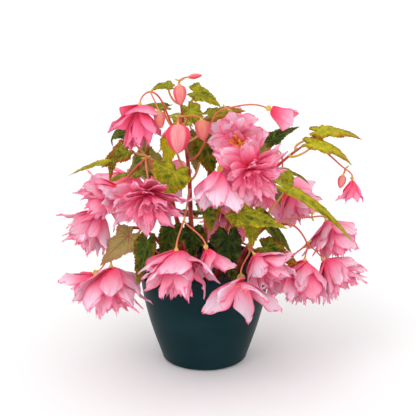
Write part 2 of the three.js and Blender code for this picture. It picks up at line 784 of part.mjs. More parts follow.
// The blade's triangles run between the midrib and the two edges, which meet it at the stalk and the tip.
function bladeSolid(blade) {
  const { points, place } = pointList();
  const root = place(0, bladePoint(blade, 0, 0));
  const { middle, left, right } = bladeRows(blade, LEAF_EDGE, LEAF_MIDRIB, place);
  const rows = [left, right, middle].map((row) => [root, ...row]);
  const surface = [...zip(rows[2], rows[0]), ...zip(rows[1], rows[2])];
  const border = [root, ...right, ...left.slice(0, -1).reverse()].map((point) => point.id);
  const both = sheetFaces(points, surface, border, LEAF.thickness);
  return solidFromFaces(both.points, both.faces);
}

// A leaf with its stalk, or a shoot of several leaves, where every other blade has its broad side turned.
function leafSolid(leaf, turned) {
  const blades = (leaf.blades ?? [leaf]).map(({ at, aim, face, size, droop }, i) => ({
    frame: bladeFrame(vec(aim), vec(face)),
    at: vec(at),
    length: size[0],
    half: size[1] / 2,
    bend: droop * DEGREE,
    fold: LEAF.fold,
    cup: LEAF.cup,
    skew: (i + turned) % 2 ? LEAF.skew : -LEAF.skew,
  }));
  const ends = blades.map((blade) => bladePoint(blade, STALK.sunk / blade.length, 0));
  const arrivals = blades.map(({ frame }) => frame.up);
  return fuse([...blades.map(bladeSolid), ...stalkSolids(leaf, ends, arrivals, STALK.leafRadius)]);
}

// ---------------------------------------------------------------- flowers

// Draws between -1 and 1 that come out the same on every run.
function dice(seed) {
  let state = seed * 7919 + 104729;
  return () => {
    state = (Math.imul(state, 1664525) + 1013904223) >>> 0;
    return state / 2 ** 31 - 1;
  };
}

// A flower's own directions: out from its axis at a turn, and a mix of that and the axis at an angle.
function flowerFrame(face) {
  const axis = unit(face);
  const level = Math.abs(axis.z) > 0.9 ? new THREE.Vector3(0, -1, 0) : new THREE.Vector3(0, 0, 1);
  const { up, side } = bladeFrame(axis, level);
  const outward = (turn) => up.clone().multiplyScalar(Math.cos(turn)).addScaledVector(side, Math.sin(turn));
  const lean = (angle, out) => {
    return axis.clone().multiplyScalar(Math.cos(angle)).addScaledVector(out, Math.sin(angle));
  };
  return { axis, outward, lean };
}

// The petals of a layer stand round the core with a small seeded unevenness, and between each petal and
// the next is a valley, from where on they part. The layer's surface is open in the middle, at the core.
function layerSurface({ at, length, open, curl }, frame, layer, depth, draw) {
  const { axis, outward, lean } = frame;
  const heart = vec(at).addScaledVector(axis, depth * LAYER_STEP);
  const step = (2 * Math.PI) / layer.count;
  const mean = open * layer.open * DEGREE;
  const bend = curl * layer.curl * DEGREE;
  const start = layer.start ?? (depth % 2) / 2;

  const { points, place } = pointList();
  const made = counting(layer.count).map((k) => {
    const turn = (k + start) * step;
    const out = outward(turn + UNEVEN.turn * step * draw());
    const angle = mean + UNEVEN.open * DEGREE * draw();
    const reach = length * layer.length * (1 + UNEVEN.length * draw());
    const room = ROOM * reach * Math.sin(mean + 0.4 * bend) * Math.tan(step / 2); // where it is broadest
    const petal = {
      frame: bladeFrame(lean(angle, out), lean(angle - Math.PI / 2, out)),
      at: heart,
      length: reach,
      half: Math.min((reach * layer.width) / 2, room / (1 + PETAL.cup * Math.tan(step / 2))),
      bend,
      fold: 0,
      cup: PETAL.cup,
      skew: 0,
    };
    const inner = PETAL.core / (reach * Math.sin(angle));
    const ring = { ...place(inner, bladePoint(petal, inner, 0)), turn };
    const away = lean(mean, outward(turn + step / 2));
    const valley = place(inner, heart.clone().addScaledVector(away, PETAL.valley / Math.sin(mean)));
    return { ring, valley, rows: bladeRows(petal, layer.shape.edge, layer.shape.midrib, place) };
  });
  const surface = [];
  const border = [];
  made.forEach(({ ring, valley, rows }, k) => {
    const before = made.at(k - 1);
    const midrib = [ring, ...rows.middle];
    surface.push(...zip(midrib, [before.valley, ...rows.left]), ...zip([valley, ...rows.right], midrib));
    surface.push([before.ring.id, ring.id, before.valley.id]);
    const rim = [valley, ...rows.right, ...rows.left.slice(0, -1).reverse()];
    border.unshift(...rim.map((point) => point.id));
  });
  return { points, surface, border, ring: made.map((petal) => petal.ring) };
}

// An open flower is one closed body: the faces of its layers, the core that joins one layer to the next,
// and behind the petals a spindle, which is the seed vessel or the end of the stalk.
function bloomSolid(flower, seed) {
  const draw = dice(seed);
  const frame = flowerFrame(flower.face);
  const points = [];
  const faces = [];
  const shift = (ring, by) => ring.map(({ id, turn }) => ({ id: id + by, s: turn }));
  const closed = (ring) => [...ring, { id: ring[0].id, s: ring[0].s + 2 * Math.PI }];

  const [back, width] = VESSEL[flower.kind].map((share) => share * flower.length);
  const apex = points.push(vec(flower.at).addScaledVector(frame.axis, -back)) - 1;
  const { count } = LAYERS[flower.kind][0];
  let lower = counting(count).map((k) => {
    const turn = (k / count) * 2 * Math.PI;
    const spot = vec(flower.at).addScaledVector(frame.axis, -0.5 * back);
    return { id: points.push(spot.addScaledVector(frame.outward(turn), width)) - 1, s: turn };
  });
  closed(lower).slice(1).forEach(({ id }, k) => faces.push([lower[k].id, id, apex]));

  LAYERS[flower.kind].forEach((layer, depth) => {
    const sheet = layerSurface(flower, frame, layer, depth, draw);
    const both = sheetFaces(sheet.points, sheet.surface, sheet.border, PETAL.thickness);
    const first = points.length;
    points.push(...both.points);
    faces.push(...both.faces.map((face) => face.map((id) => id + first)));
    faces.push(...zip(closed(shift(sheet.ring, first + sheet.points.length)), closed(lower)));
    lower = shift(sheet.ring, first);
  });
  for (let k = 1; k < lower.length - 1; k += 1) faces.push([lower[0].id, lower[k + 1].id, lower[k].id]);
  return solidFromFaces(points, faces);
}

// A bud is two petals that lie face to face: a flattened drop, which is wider when it is about to open.
function budSolid({ at, face, length, open }) {
  const half = BUD.width * length * (1 + open / 100);
  const profile = BUD.profile.map(([r, y]) => new THREE.Vector2(r * half, y * length));
  const geometry = new THREE.LatheGeometry(profile, BUD.segments);
  const turned = new THREE.Quaternion().setFromUnitVectors(new THREE.Vector3(0, 1, 0), unit(face));
  geometry.scale(1, 1, BUD.flatness);
  geometry.applyQuaternion(turned);
  geometry.translate(...at);
  return solidOf(geometry);
}

// Where a flower's stalk ends: a little way inside its seed vessel or bud.
function stalkEnd({ kind, at, face, length }) {
  const inside = kind === 'bud' ? 1 : 1 - VESSEL[kind][0] * length;
  return vec(at).addScaledVector(unit(face), inside);
}

function spraySolid(spray, seed) {
  const ends = spray.flowers.map(stalkEnd);
  const arrivals = spray.flowers.map(({ face }) => unit(face));
  const made = spray.flowers.map((flower, i) => {
    return flower.kind === 'bud' ? budSolid(flower) : bloomSolid(flower, seed * 10 + i);
  });
  return fuse([...made, ...stalkSolids(spray, ends, arrivals, STALK.flowerRadius)]);
}

// ---------------------------------------------------------------- the potted plant

const DARK_LEAVES = [
  'leaf_curled', 'leaf_right_dark', 'leaf_front_dark', 'leaf_front_low', 'leaf_left_dark',
];

const group = new THREE.Group();

function add(name, solid, color, roughness) {
  const material = new THREE.MeshStandardMaterial({ color, roughness, metalness: 0, flatShading: true });
  const mesh = new THREE.Mesh(geometryOf(solid), material);
  mesh.name = name;
  group.add(mesh);
}

add('pot', potSolid(), COLOUR.pot, 0.5);
add('soil', soilSolid(Object.values(STEMS).map((stem) => stemSolid(stem, GAP))), COLOUR.soil, 1);
Object.entries(STEMS).forEach(([name, stem]) => add(name, stemSolid(stem), COLOUR.stem, 0.5));
Object.entries(LEAVES).forEach(([name, leaf], i) => {
  const color = DARK_LEAVES.includes(name) ? COLOUR.darkLeaf : COLOUR.leaf;
  add(name, leafSolid(leaf, i % 2), color, 0.55);
});
Object.entries(SPRAYS).forEach(([name, spray], i) => {
  add(name, spraySolid(spray, i + 1), COLOUR.flower, 0.6);
});

export default group;
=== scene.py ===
import json
import math
from collections import namedtuple

import bpy
import numpy as np
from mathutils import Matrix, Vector

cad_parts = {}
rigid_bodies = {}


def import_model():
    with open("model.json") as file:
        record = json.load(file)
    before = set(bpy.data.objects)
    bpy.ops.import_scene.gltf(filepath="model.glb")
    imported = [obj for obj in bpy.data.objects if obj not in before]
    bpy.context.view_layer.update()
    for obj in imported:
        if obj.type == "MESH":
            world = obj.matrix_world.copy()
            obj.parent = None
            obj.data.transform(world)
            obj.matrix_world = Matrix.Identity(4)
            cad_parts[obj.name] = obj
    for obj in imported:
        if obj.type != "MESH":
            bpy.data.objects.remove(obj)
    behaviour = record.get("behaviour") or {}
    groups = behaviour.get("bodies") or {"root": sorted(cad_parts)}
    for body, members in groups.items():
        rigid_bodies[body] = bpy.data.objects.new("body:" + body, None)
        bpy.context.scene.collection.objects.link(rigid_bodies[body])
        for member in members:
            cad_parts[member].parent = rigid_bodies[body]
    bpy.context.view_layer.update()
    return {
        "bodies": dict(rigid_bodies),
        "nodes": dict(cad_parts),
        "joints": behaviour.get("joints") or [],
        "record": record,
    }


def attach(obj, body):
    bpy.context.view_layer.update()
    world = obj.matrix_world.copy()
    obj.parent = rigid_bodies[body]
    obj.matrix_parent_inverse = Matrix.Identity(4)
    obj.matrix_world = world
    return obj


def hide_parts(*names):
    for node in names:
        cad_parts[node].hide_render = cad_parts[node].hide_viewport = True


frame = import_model()

MM = 0.001
CIRCLE = 2 * math.pi

# ---------------------------------------------------------------- driving dimensions

POT = {
    "height": 108, "foot_radius": 44, "rim_radius": 68.5, "flat_radius": 38,
    "foot_corner": 4, "wall": 3, "floor": 4, "segments": 144,
}
SOIL = {
    "top": 95, "dome": 4, "lumps": 1.2, "waves": (0.31, 0.27), "gap": 0.4,
    "segments": 120, "rings": 34, "grit": 0.28, "crumbs": 260, "crumb_size": (0.7, 2.2),
}
STEM = {"buried": 24, "stations": 60, "sides": 16, "sunk": 0.5, "joint_step": 26, "joint": 0.1}
STALK = {
    "leaf_radius": 1, "flower_radius": 0.88, "taper": 1.35, "stations": 34, "sides": 8,
    "reach": 0.33, "onward": 1.2, "aside": 0.3,
}
LEAF = {
    "thickness": 0.5, "fold": 0.22, "cup": -0.16, "skew": 0.14, "sunk": 2, "heart": 0.07,
    "points": 72, "rings": 13, "tooth": 1.25, "tooth_step": 4.2, "lobe": 1.5,
    "wave": 1.5, "pucker": 0.9, "drop": 0.12, "sway": 0.3,
}
PETAL = {
    "thickness": 0.42, "rows": 16, "columns": 11, "tip": 38, "cup": 0.2, "crease": 0.12,
    "rib": 0.2, "ribs": 3, "ruffle": 0.035, "frill": 0.013, "waves": 1.9,
    "sway": 0.12, "roll": 0.2, "twist": 0.55,
}
BUD = {"width": 0.295, "flatness": 0.72, "segments": 40, "ribs": 8, "rib": 0.025}
BRACT = {"length": 6, "width": 0.9, "stations": 9}
HEART = {"stations": 12, "sides": 6, "radii": (0.35, 0.62), "curl": 0.22}

# Bodies turned about their axis, as their radius and how far along it they are: a bud in shares of its
# width and length, and the small swellings behind a bud and behind a double flower in millimetres.
BUD_PROFILE = [
    (0, 0), (0.54, 0.03), (0.9, 0.15), (1.04, 0.37), (0.87, 0.64), (0.5, 0.87), (0.14, 0.985), (0, 1),
]
BUD_CUP = [(0, 0), (0.9, 0.3), (1.3, 1.2), (2, 2.2), (1.6, 3.1), (0, 3.4)]
FLOWER_CUP = [(0, 0), (1, 0.3), (1.5, 1.6), (2.4, 3.2), (2.6, 4.4), (0, 5)]

# Half of a leaf's outline, from the stalk round a lobe to the tip: how far along the midrib, and how far
# from it as a share of the half width.
LEAF_EDGE = [
    (0, 0), (-0.1, 0.16), (-0.17, 0.44), (-0.07, 0.84), (0.08, 1), (0.22, 0.86),
    (0.37, 0.84), (0.5, 0.62), (0.68, 0.4), (0.85, 0.2), (1, 0),
]
# Where a leaf's side veins end: how far along the midrib, and their share of the half width. Then where
# they branch, where the midrib branches, and how far out its branches reach at some places along it.
VEIN_ENDS = ((0.4, 0.8), (0.1, 0.93), (-0.13, 0.5))
VEIN_FORKS = (0.45, 0.7)
MIDRIB_FORKS = (0.3, 0.42, 0.54, 0.66, 0.78)
MIDRIB_REACH = ((0.3, 0.5, 0.7, 1), (0.8, 0.6, 0.36, 0))

# A petal's outline: its width at the start as a share of its greatest, how far along it is widest, how
# much shorter its margins are than its middle, its width at the tip, and how deeply the tip is notched.
PETAL_SHAPES = {
    "broad": (0.34, 0.57, 0.17, 0.38, 0.09),
    "lance": (0.28, 0.58, 0.18, 0.25, 0.09),
    "frilled": (0.24, 0.68, 0.12, 0.42, 0.16),
    "slim": (0.26, 0.6, 0.15, 0.25, 0.12),
    "small": (0.4, 0.62, 0.13, 0.5, 0.09),
}

# The layers of a flower, from the outside in: number of petals, then shares of the flower's opening
# angle, of its curl and of its petals' length, a petal's width as a share of its length, and its shape.
Layer = namedtuple("Layer", "count open curl length width shape")
LAYERS = {
    "bell": [
        Layer(5, 1.06, 1.0, 0.92, 0.52, "broad"),
        Layer(5, 0.92, 1.0, 1.04, 0.42, "broad"),
        Layer(5, 0.73, 0.85, 1.0, 0.38, "lance"),
        Layer(5, 0.5, 0.6, 0.93, 0.33, "frilled"),
        Layer(4, 0.27, 0.4, 0.82, 0.33, "frilled"),
    ],
    "hooded": [
        Layer(3, 1.22, 2.4, 0.6, 1.1, "broad"),
        Layer(4, 0.82, 0.5, 1.04, 0.34, "lance"),
        Layer(5, 0.5, 0.4, 1.02, 0.31, "lance"),
        Layer(5, 0.28, 0.2, 0.92, 0.28, "slim"),
    ],
    "rosette": [
        Layer(6, 1.04, 1.1, 1.0, 0.52, "broad"),
        Layer(7, 0.9, 1.0, 1.0, 0.38, "lance"),
        Layer(8, 0.74, 0.9, 0.94, 0.3, "lance"),
        Layer(8, 0.57, 0.7, 0.82, 0.27, "frilled"),
        Layer(7, 0.4, 0.5, 0.66, 0.3, "frilled"),
        Layer(5, 0.22, 0.2, 0.48, 0.34, "small"),
    ],
    "loose": [
        Layer(5, 1.06, 1.1, 1.0, 0.74, "broad"),
        Layer(6, 0.9, 0.9, 0.96, 0.6, "broad"),
        Layer(6, 0.7, 0.5, 0.84, 0.52, "small"),
        Layer(6, 0.52, 0.2, 0.66, 0.46, "small"),
    ],
    "single": [
        Layer(5, 1.0, 1.0, 1.0, 0.54, "broad"),
        Layer(2, 0.7, 0.8, 0.84, 0.32, "lance"),
    ],
    "wide": [Layer(5, 1.0, 1.0, 1.0, 0.66, "broad")],
    "half": [
        Layer(2, 1.1, 1.0, 1.0, 0.68, "small"),
        Layer(2, 0.5, 0.6, 0.92, 0.44, "small"),
    ],
}

# How far apart the layers start, and how far their petals tilt, to one side and the other in turns.
LAYER_STEP = 0.9
LAYER_TILT = 0.1
# How much the petals of a layer differ at most: in their turn as a share of the step between them, in
# their opening in degrees, on the outer layer and on the others, in tilt, length and width, and in their
# bend in degrees.
JITTER = {"turn": 0.22, "open": (4, 8), "tilt": 0.2, "length": 0.12, "width": 0.16, "bend": 11}

# How far round the outer petals start, as a share of the step between them.
FIRST_TURN = {"single": 0.5, "wide": 0.45, "half": 0.35}

# The number and length of a flower's golden stigmas or stamens, where they show.
HEARTS = {"single": (9, 8), "wide": (9, 8), "loose": (30, 13)}

# The length and radius of the winged seed vessel behind some kinds of flower, and the length of the
# swelling behind the others, as shares of their petals' length.
VESSEL = {"single": (0.17, 0.066), "wide": (0.17, 0.066), "half": (0.2, 0.09)}
SWELLING = 0.07

# Where the random draws of the soil, the leaves and the sprays start.
SEEDS = {"soil": 77, "leaf": 500, "spray": 900}
# The patterns of two blades or petals differ because they are read this far apart at most.
APART = 90

# The picture: where the camera aims, from how far and how high, and each lamp's place in metres, spread
# in degrees and strength. The floor's half width is in metres too.
AIM = (3.7, 0, 166.2)
CAMERA = {"lens": 100, "sensor": 36, "distance": 1213, "elevation": 15.5}
SKY = 1.03
LIGHTS = {
    "key": ((-0.9, -1.4, 1.6), 40, 0.7),
    "fill": ((0.4, -1.6, 0.1), 80, 0.9),
}
FLOOR_REACH = 30

COLOURS = {
    "throat": (0.88, 0.012, 0.045),
    "crimson": (0.93, 0.045, 0.12),
    "pink": (0.93, 0.19, 0.33),
    "rose": (0.86, 0.44, 0.57),
    "pale": (0.77, 0.62, 0.72),
    # Deep pink: a flower's own tone, and also painted on inner petal layers as shade between them.
    "deep_pink_and_shade": (0.94, 0.16, 0.32),
    "margin": (0.88, 0.12, 0.27),
    "vein": (0.89, 0.1, 0.24),
    "bud_base": (0.5, 0.28, 0.1),
    "bud": (0.64, 0.27, 0.15),
    "bud_tip": (0.74, 0.24, 0.2),
    "bud_pink": (0.92, 0.38, 0.43),
    "bud_edge": (0.8, 0.04, 0.12),
    "leaf_dark": (0.004, 0.013, 0.003),
    "leaf_green": (0.04, 0.072, 0.006),
    "leaf_olive": (0.23, 0.225, 0.007),
    "leaf_yellow": (0.56, 0.47, 0.01),
    "leaf_brown": (0.3, 0.065, 0.006),
    "leaf_vein": (0.56, 0.53, 0.07),
    "leaf_beneath": (0.38, 0.3, 0.15),
    "leaf_red": (0.42, 0.07, 0.06),
    "stalk_red": (0.5, 0.05, 0.03),
    "stalk_salmon": (0.7, 0.17, 0.08),
    "stalk_amber": (0.7, 0.38, 0.08),
    "stalk_green": (0.5, 0.46, 0.08),
    "stem_dark": (0.2, 0.024, 0.013),
    "stem_red": (0.47, 0.028, 0.02),
    "stem_light": (0.58, 0.12, 0.06),
    "gold_base": (0.85, 0.22, 0.02),
    "gold": (0.92, 0.42, 0.012),
    "gold_tip": (0.95, 0.6, 0.06),
    "pot_dark": (0.0035, 0.019, 0.0235),
    "pot_light": (0.006, 0.027, 0.032),
    "soil_dark": (0.008, 0.006, 0.004),
    "soil": (0.03, 0.019, 0.012),
    "soil_light": (0.09, 0.06, 0.038),
    "floor": (0.9, 0.9, 0.9),
    "floor_light": (0.94, 0.94, 0.94),
}

# ---------------------------------------------------------------- how the plant is laid out

Stem = namedtuple("Stem", "radius path")
Shoot = namedtuple("Shoot", "stem share fork heads")
Blade = namedtuple("Blade", "at aim face size droop tone blush pale", defaults=(0,))
Flower = namedtuple("Flower", "kind at face length open curl tone")


def leaf(stem, share, *blade):
    """A leaf of one blade, whose stalk starts on a stem, a share of the way up."""
    return Shoot(stem, share, None, [Blade(*blade)])


# Each main stem: its radius at the foot and at the tip, and the points it passes above the soil.
STEMS = {
    "stem_middle": Stem((3.4, 1.3),
        [(-9, -2, 92), (-14, -3, 150), (-16, -5, 205), (-21, -6, 250), (-24, -6, 284)]),
    "stem_left_high": Stem((3.2, 1.5),
        [(-22, 4, 92), (-27, 4, 140), (-38, -6, 190), (-54, -16, 222)]),
    "stem_left_low": Stem((3, 1.4),
        [(-33, -6, 90), (-42, -12, 124), (-62, -20, 148), (-84, -24, 152)]),
    "stem_right_high": Stem((3.4, 1.2),
        [(13, 6, 92), (24, 8, 142), (54, 6, 188), (84, 3, 218), (102, 0, 233)]),
    "stem_right_low": Stem((3, 1.3),
        [(32, -6, 90), (44, -8, 124), (66, -12, 150), (88, -16, 153)]),
    "stem_front": Stem((3, 1.4),
        [(12, -24, 91), (18, -38, 132), (26, -50, 170), (32, -56, 200)]),
    "stem_back_left": Stem((3.2, 1.4),
        [(-18, 24, 91), (-30, 44, 140), (-50, 66, 182), (-66, 84, 198)]),
    "stem_back_right": Stem((3.2, 1.4),
        [(20, 26, 91), (34, 46, 142), (56, 68, 186), (74, 84, 202)]),
    "stem_back_middle": Stem((3.2, 1.3),
        [(0, 32, 91), (2, 40, 150), (6, 48, 205), (12, 54, 246)]),
}

# Each leaf: the stem it grows on and how far up, where a shoot's leaf stalks part, and its blades: where
# one starts, which way its midrib sets off and its upper side faces, its length and width, how far it
# droops in degrees, how yellow it is (0 dark green to 1) and how brown its margin is, and how much its
# upper side has of the pale underside.
LEAVES = {
    "leaf_top_left": leaf("stem_middle", 0.97,
        (-34, -8, 296), (-1, -0.1, 0.25), (0.2, -0.5, 1), (26, 15), 75, 0.55, 0.6),
    "leaf_top_right": leaf("stem_middle", 0.93,
        (-11, 4, 288), (1, 0.1, -0.3), (0.3, -0.8, 0.7), (34, 22), 25, 0.62, 0.4),
    "leaf_upper_left": leaf("stem_middle", 0.8,
        (-40, 8, 272), (-1, 0.1, 0.1), (0, -0.3, 1), (38, 18), 35, 0.5, 0.5),
    "leaf_upper_middle": leaf("stem_middle", 0.86,
        (-16, -18, 276), (0.55, -0.25, -0.8), (0.3, -0.9, 0.3), (34, 20), 15, 0.64, 0.9),
    "leaf_upper_right": leaf("stem_middle", 0.76,
        (4, 6, 264), (1, 0, 0.35), (-0.2, -0.6, 1), (40, 22), 30, 0.6, 1.3),
    "leaf_curled": leaf("stem_left_high", 0.95,
        (-74, 2, 246), (-0.9, 0, 0.3), (-0.2, -0.6, 0.8), (42, 20), 125, 0.25, 0.2),
    "leaf_far_left": Shoot("stem_left_high", 1, None, [
        Blade((-78, -16, 232), (-1, 0, -0.5), (0.1, -0.85, 0.6), (34, 23), 10, 0.5, 2.4),
        Blade((-99, -16, 221), (-1, 0, -0.25), (0.1, -0.7, 0.8), (46, 7), 25, 0.72, 0.7),
        Blade((-92, -17, 224), (-0.3, -0.2, -1), (-0.4, -0.9, 0.3), (25, 10), 15, 0.35, 2.4),
    ]),
    "leaf_bright": leaf("stem_middle", 0.62,
        (-34, -22, 246), (-0.3, -0.2, -1), (-0.5, -0.9, 0.1), (34, 26), 10, 0.85, 0.2),
    "leaf_broad": leaf("stem_left_high", 0.8,
        (-28, -50, 220), (-0.45, -0.3, -0.85), (-0.15, -0.9, 0.45), (38, 42), 25, 0.64, 0.3),
    "leaf_behind_left": leaf("stem_left_high", 0.69,
        (-62, 8, 222), (-0.7, 0.2, -0.5), (-0.5, -0.5, 0.8), (40, 30), 40, 0.45, 1.2),
    "leaf_middle": leaf("stem_middle", 0.55,
        (0, 6, 236), (0.3, 0.2, -0.9), (0.2, -1, 0.2), (46, 30), 20, 0.4, 0.6),
    "leaf_right_dark": leaf("stem_right_high", 0.72,
        (68, 14, 234), (0.8, 0.2, 0.5), (-0.3, -0.7, 0.7), (38, 20), 20, 0.2, 0.2),
    "leaf_right_high": leaf("stem_right_high", 0.95,
        (116, -2, 249), (1, -0.1, 0.1), (0, -0.6, 1), (50, 20), 45, 0.8, 1.1),
    "leaf_right_arch": leaf("stem_right_high", 0.9,
        (108, -14, 238), (1, -0.2, -0.1), (0.2, -0.6, 1), (52, 22), 50, 0.85, 1),
    "leaf_right_small": leaf("stem_right_high", 0.6,
        (84, -8, 206), (0.3, -0.3, -0.9), (0.4, -0.9, 0.2), (28, 18), 20, 0.6, 0.4),
    "leaf_right_long": leaf("stem_right_low", 0.75,
        (80, -40, 198), (0.85, -0.18, -0.35), (0.5, -0.6, 0.75), (96, 17), 40, 0.7, 0.4),
    "leaf_right_inner": leaf("stem_right_low", 0.6,
        (57, -32, 168), (0.8, -0.3, -0.7), (0.5, -0.7, 0.6), (54, 22), 15, 0.3, 0.4),
    "leaf_right_brown": leaf("stem_right_low", 0.45,
        (60, -48, 138), (0.9, -0.3, -0.35), (0.2, -0.8, 0.6), (42, 26), 30, 0.4, 1.3),
    "leaf_front_level": leaf("stem_front", 0.84,
        (31, -80, 184), (0.95, -0.2, -0.15), (0.1, -0.7, 0.8), (54, 26), 25, 0.58, 0.3),
    "leaf_front_olive": leaf("stem_front", 0.75,
        (3, -54, 198), (0.05, -0.3, -1), (0, -1, 0.2), (42, 30), 10, 0.38, 0.4),
    "leaf_front_yellow": leaf("stem_front", 0.62,
        (50, -64, 180), (-0.15, -0.25, -1), (0.1, -1, 0.1), (37, 27), 15, 0.6, 0.4),
    "leaf_front_dark": leaf("stem_front", 0.3,
        (-12, -57, 160), (-0.1, 0.05, -1), (-0.1, -0.9, 0.4), (36, 27), 20, 0.1, 0.1),
    "leaf_front_low": leaf("stem_front", 0.4,
        (24, -60, 155), (0.05, -0.3, -1), (0, -0.9, 0.3), (50, 32), 12, 0.1, 0.15),
    "leaf_left_low": leaf("stem_left_low", 0.8,
        (-75, -38, 149), (-0.7, -0.5, -0.5), (-0.2, -0.7, 0.7), (46, 36), 35, 0.66, 1.5, 1),
    "leaf_left_dark": leaf("stem_left_low", 0.35,
        (-57, -52, 147), (-0.2, -0.5, -0.9), (-0.2, -0.9, 0.4), (48, 24), 15, 0.25, 0.5),
    "leaf_left_front": leaf("stem_left_low", 0.2,
        (-33, -46, 159), (-0.3, 0, -1), (-0.2, -0.9, 0.4), (44, 28), 15, 0.2, 0.3),
    "leaf_back_left": Shoot("stem_back_left", 0.62, (-53, 50, 180), [
        Blade((-66, 40, 192), (-0.9, 0.2, 0.1), (-0.3, 0.1, 1), (52, 34), 50, 0.55, 0.5),
        Blade((-58, 52, 192), (-0.3, 0.3, 0.9), (-0.5, 0.9, 0.2), (44, 32), 50, 0.7, 0.3),
        Blade((-62, 44, 176), (-0.6, 0.2, -0.8), (-0.8, 0.3, 0.5), (44, 32), 20, 0.4, 0.5),
    ]),
    "leaf_back_middle": Shoot("stem_back_middle", 0.8, (-6, 60, 226), [
        Blade((-14, 64, 244), (-0.6, 0.6, 0.4), (-0.2, 0.3, 1), (52, 38), 60, 0.7, 0.3),
        Blade((-14, 58, 232), (-0.9, 0.1, -0.1), (-0.1, 0.5, 0.9), (44, 30), 45, 0.5, 0.5),
        Blade((-6, 68, 228), (-0.1, 0.4, -1), (0, 1, 0.4), (46, 34), 15, 0.35, 0.4),
    ]),
    "leaf_back_right": Shoot("stem_back_right", 0.62, (57, 51, 184), [
        Blade((70, 40, 196), (0.9, 0.2, 0.1), (0.3, 0.1, 1), (52, 34), 50, 0.55, 0.5),
        Blade((60, 52, 196), (0.2, 0.3, 0.9), (0.5, 0.9, 0.2), (44, 32), 50, 0.75, 0.4),
        Blade((69, 53, 182), (0.5, 0.3, -0.8), (0.8, 0.4, 0.5), (44, 32), 20, 0.35, 0.4),
    ]),
    "leaf_back_low": Shoot("stem_back_middle", 0.34, (-12, 62, 138), [
        Blade((-20, 66, 142), (-0.8, 0.6, 0), (-0.2, 0.3, 1), (46, 36), 50, 0.25, 0.3),
        Blade((-9, 70, 140), (-0.1, 0.9, 0.1), (0, 0.2, 1), (46, 36), 60, 0.2, 0.3),
    ]),
}

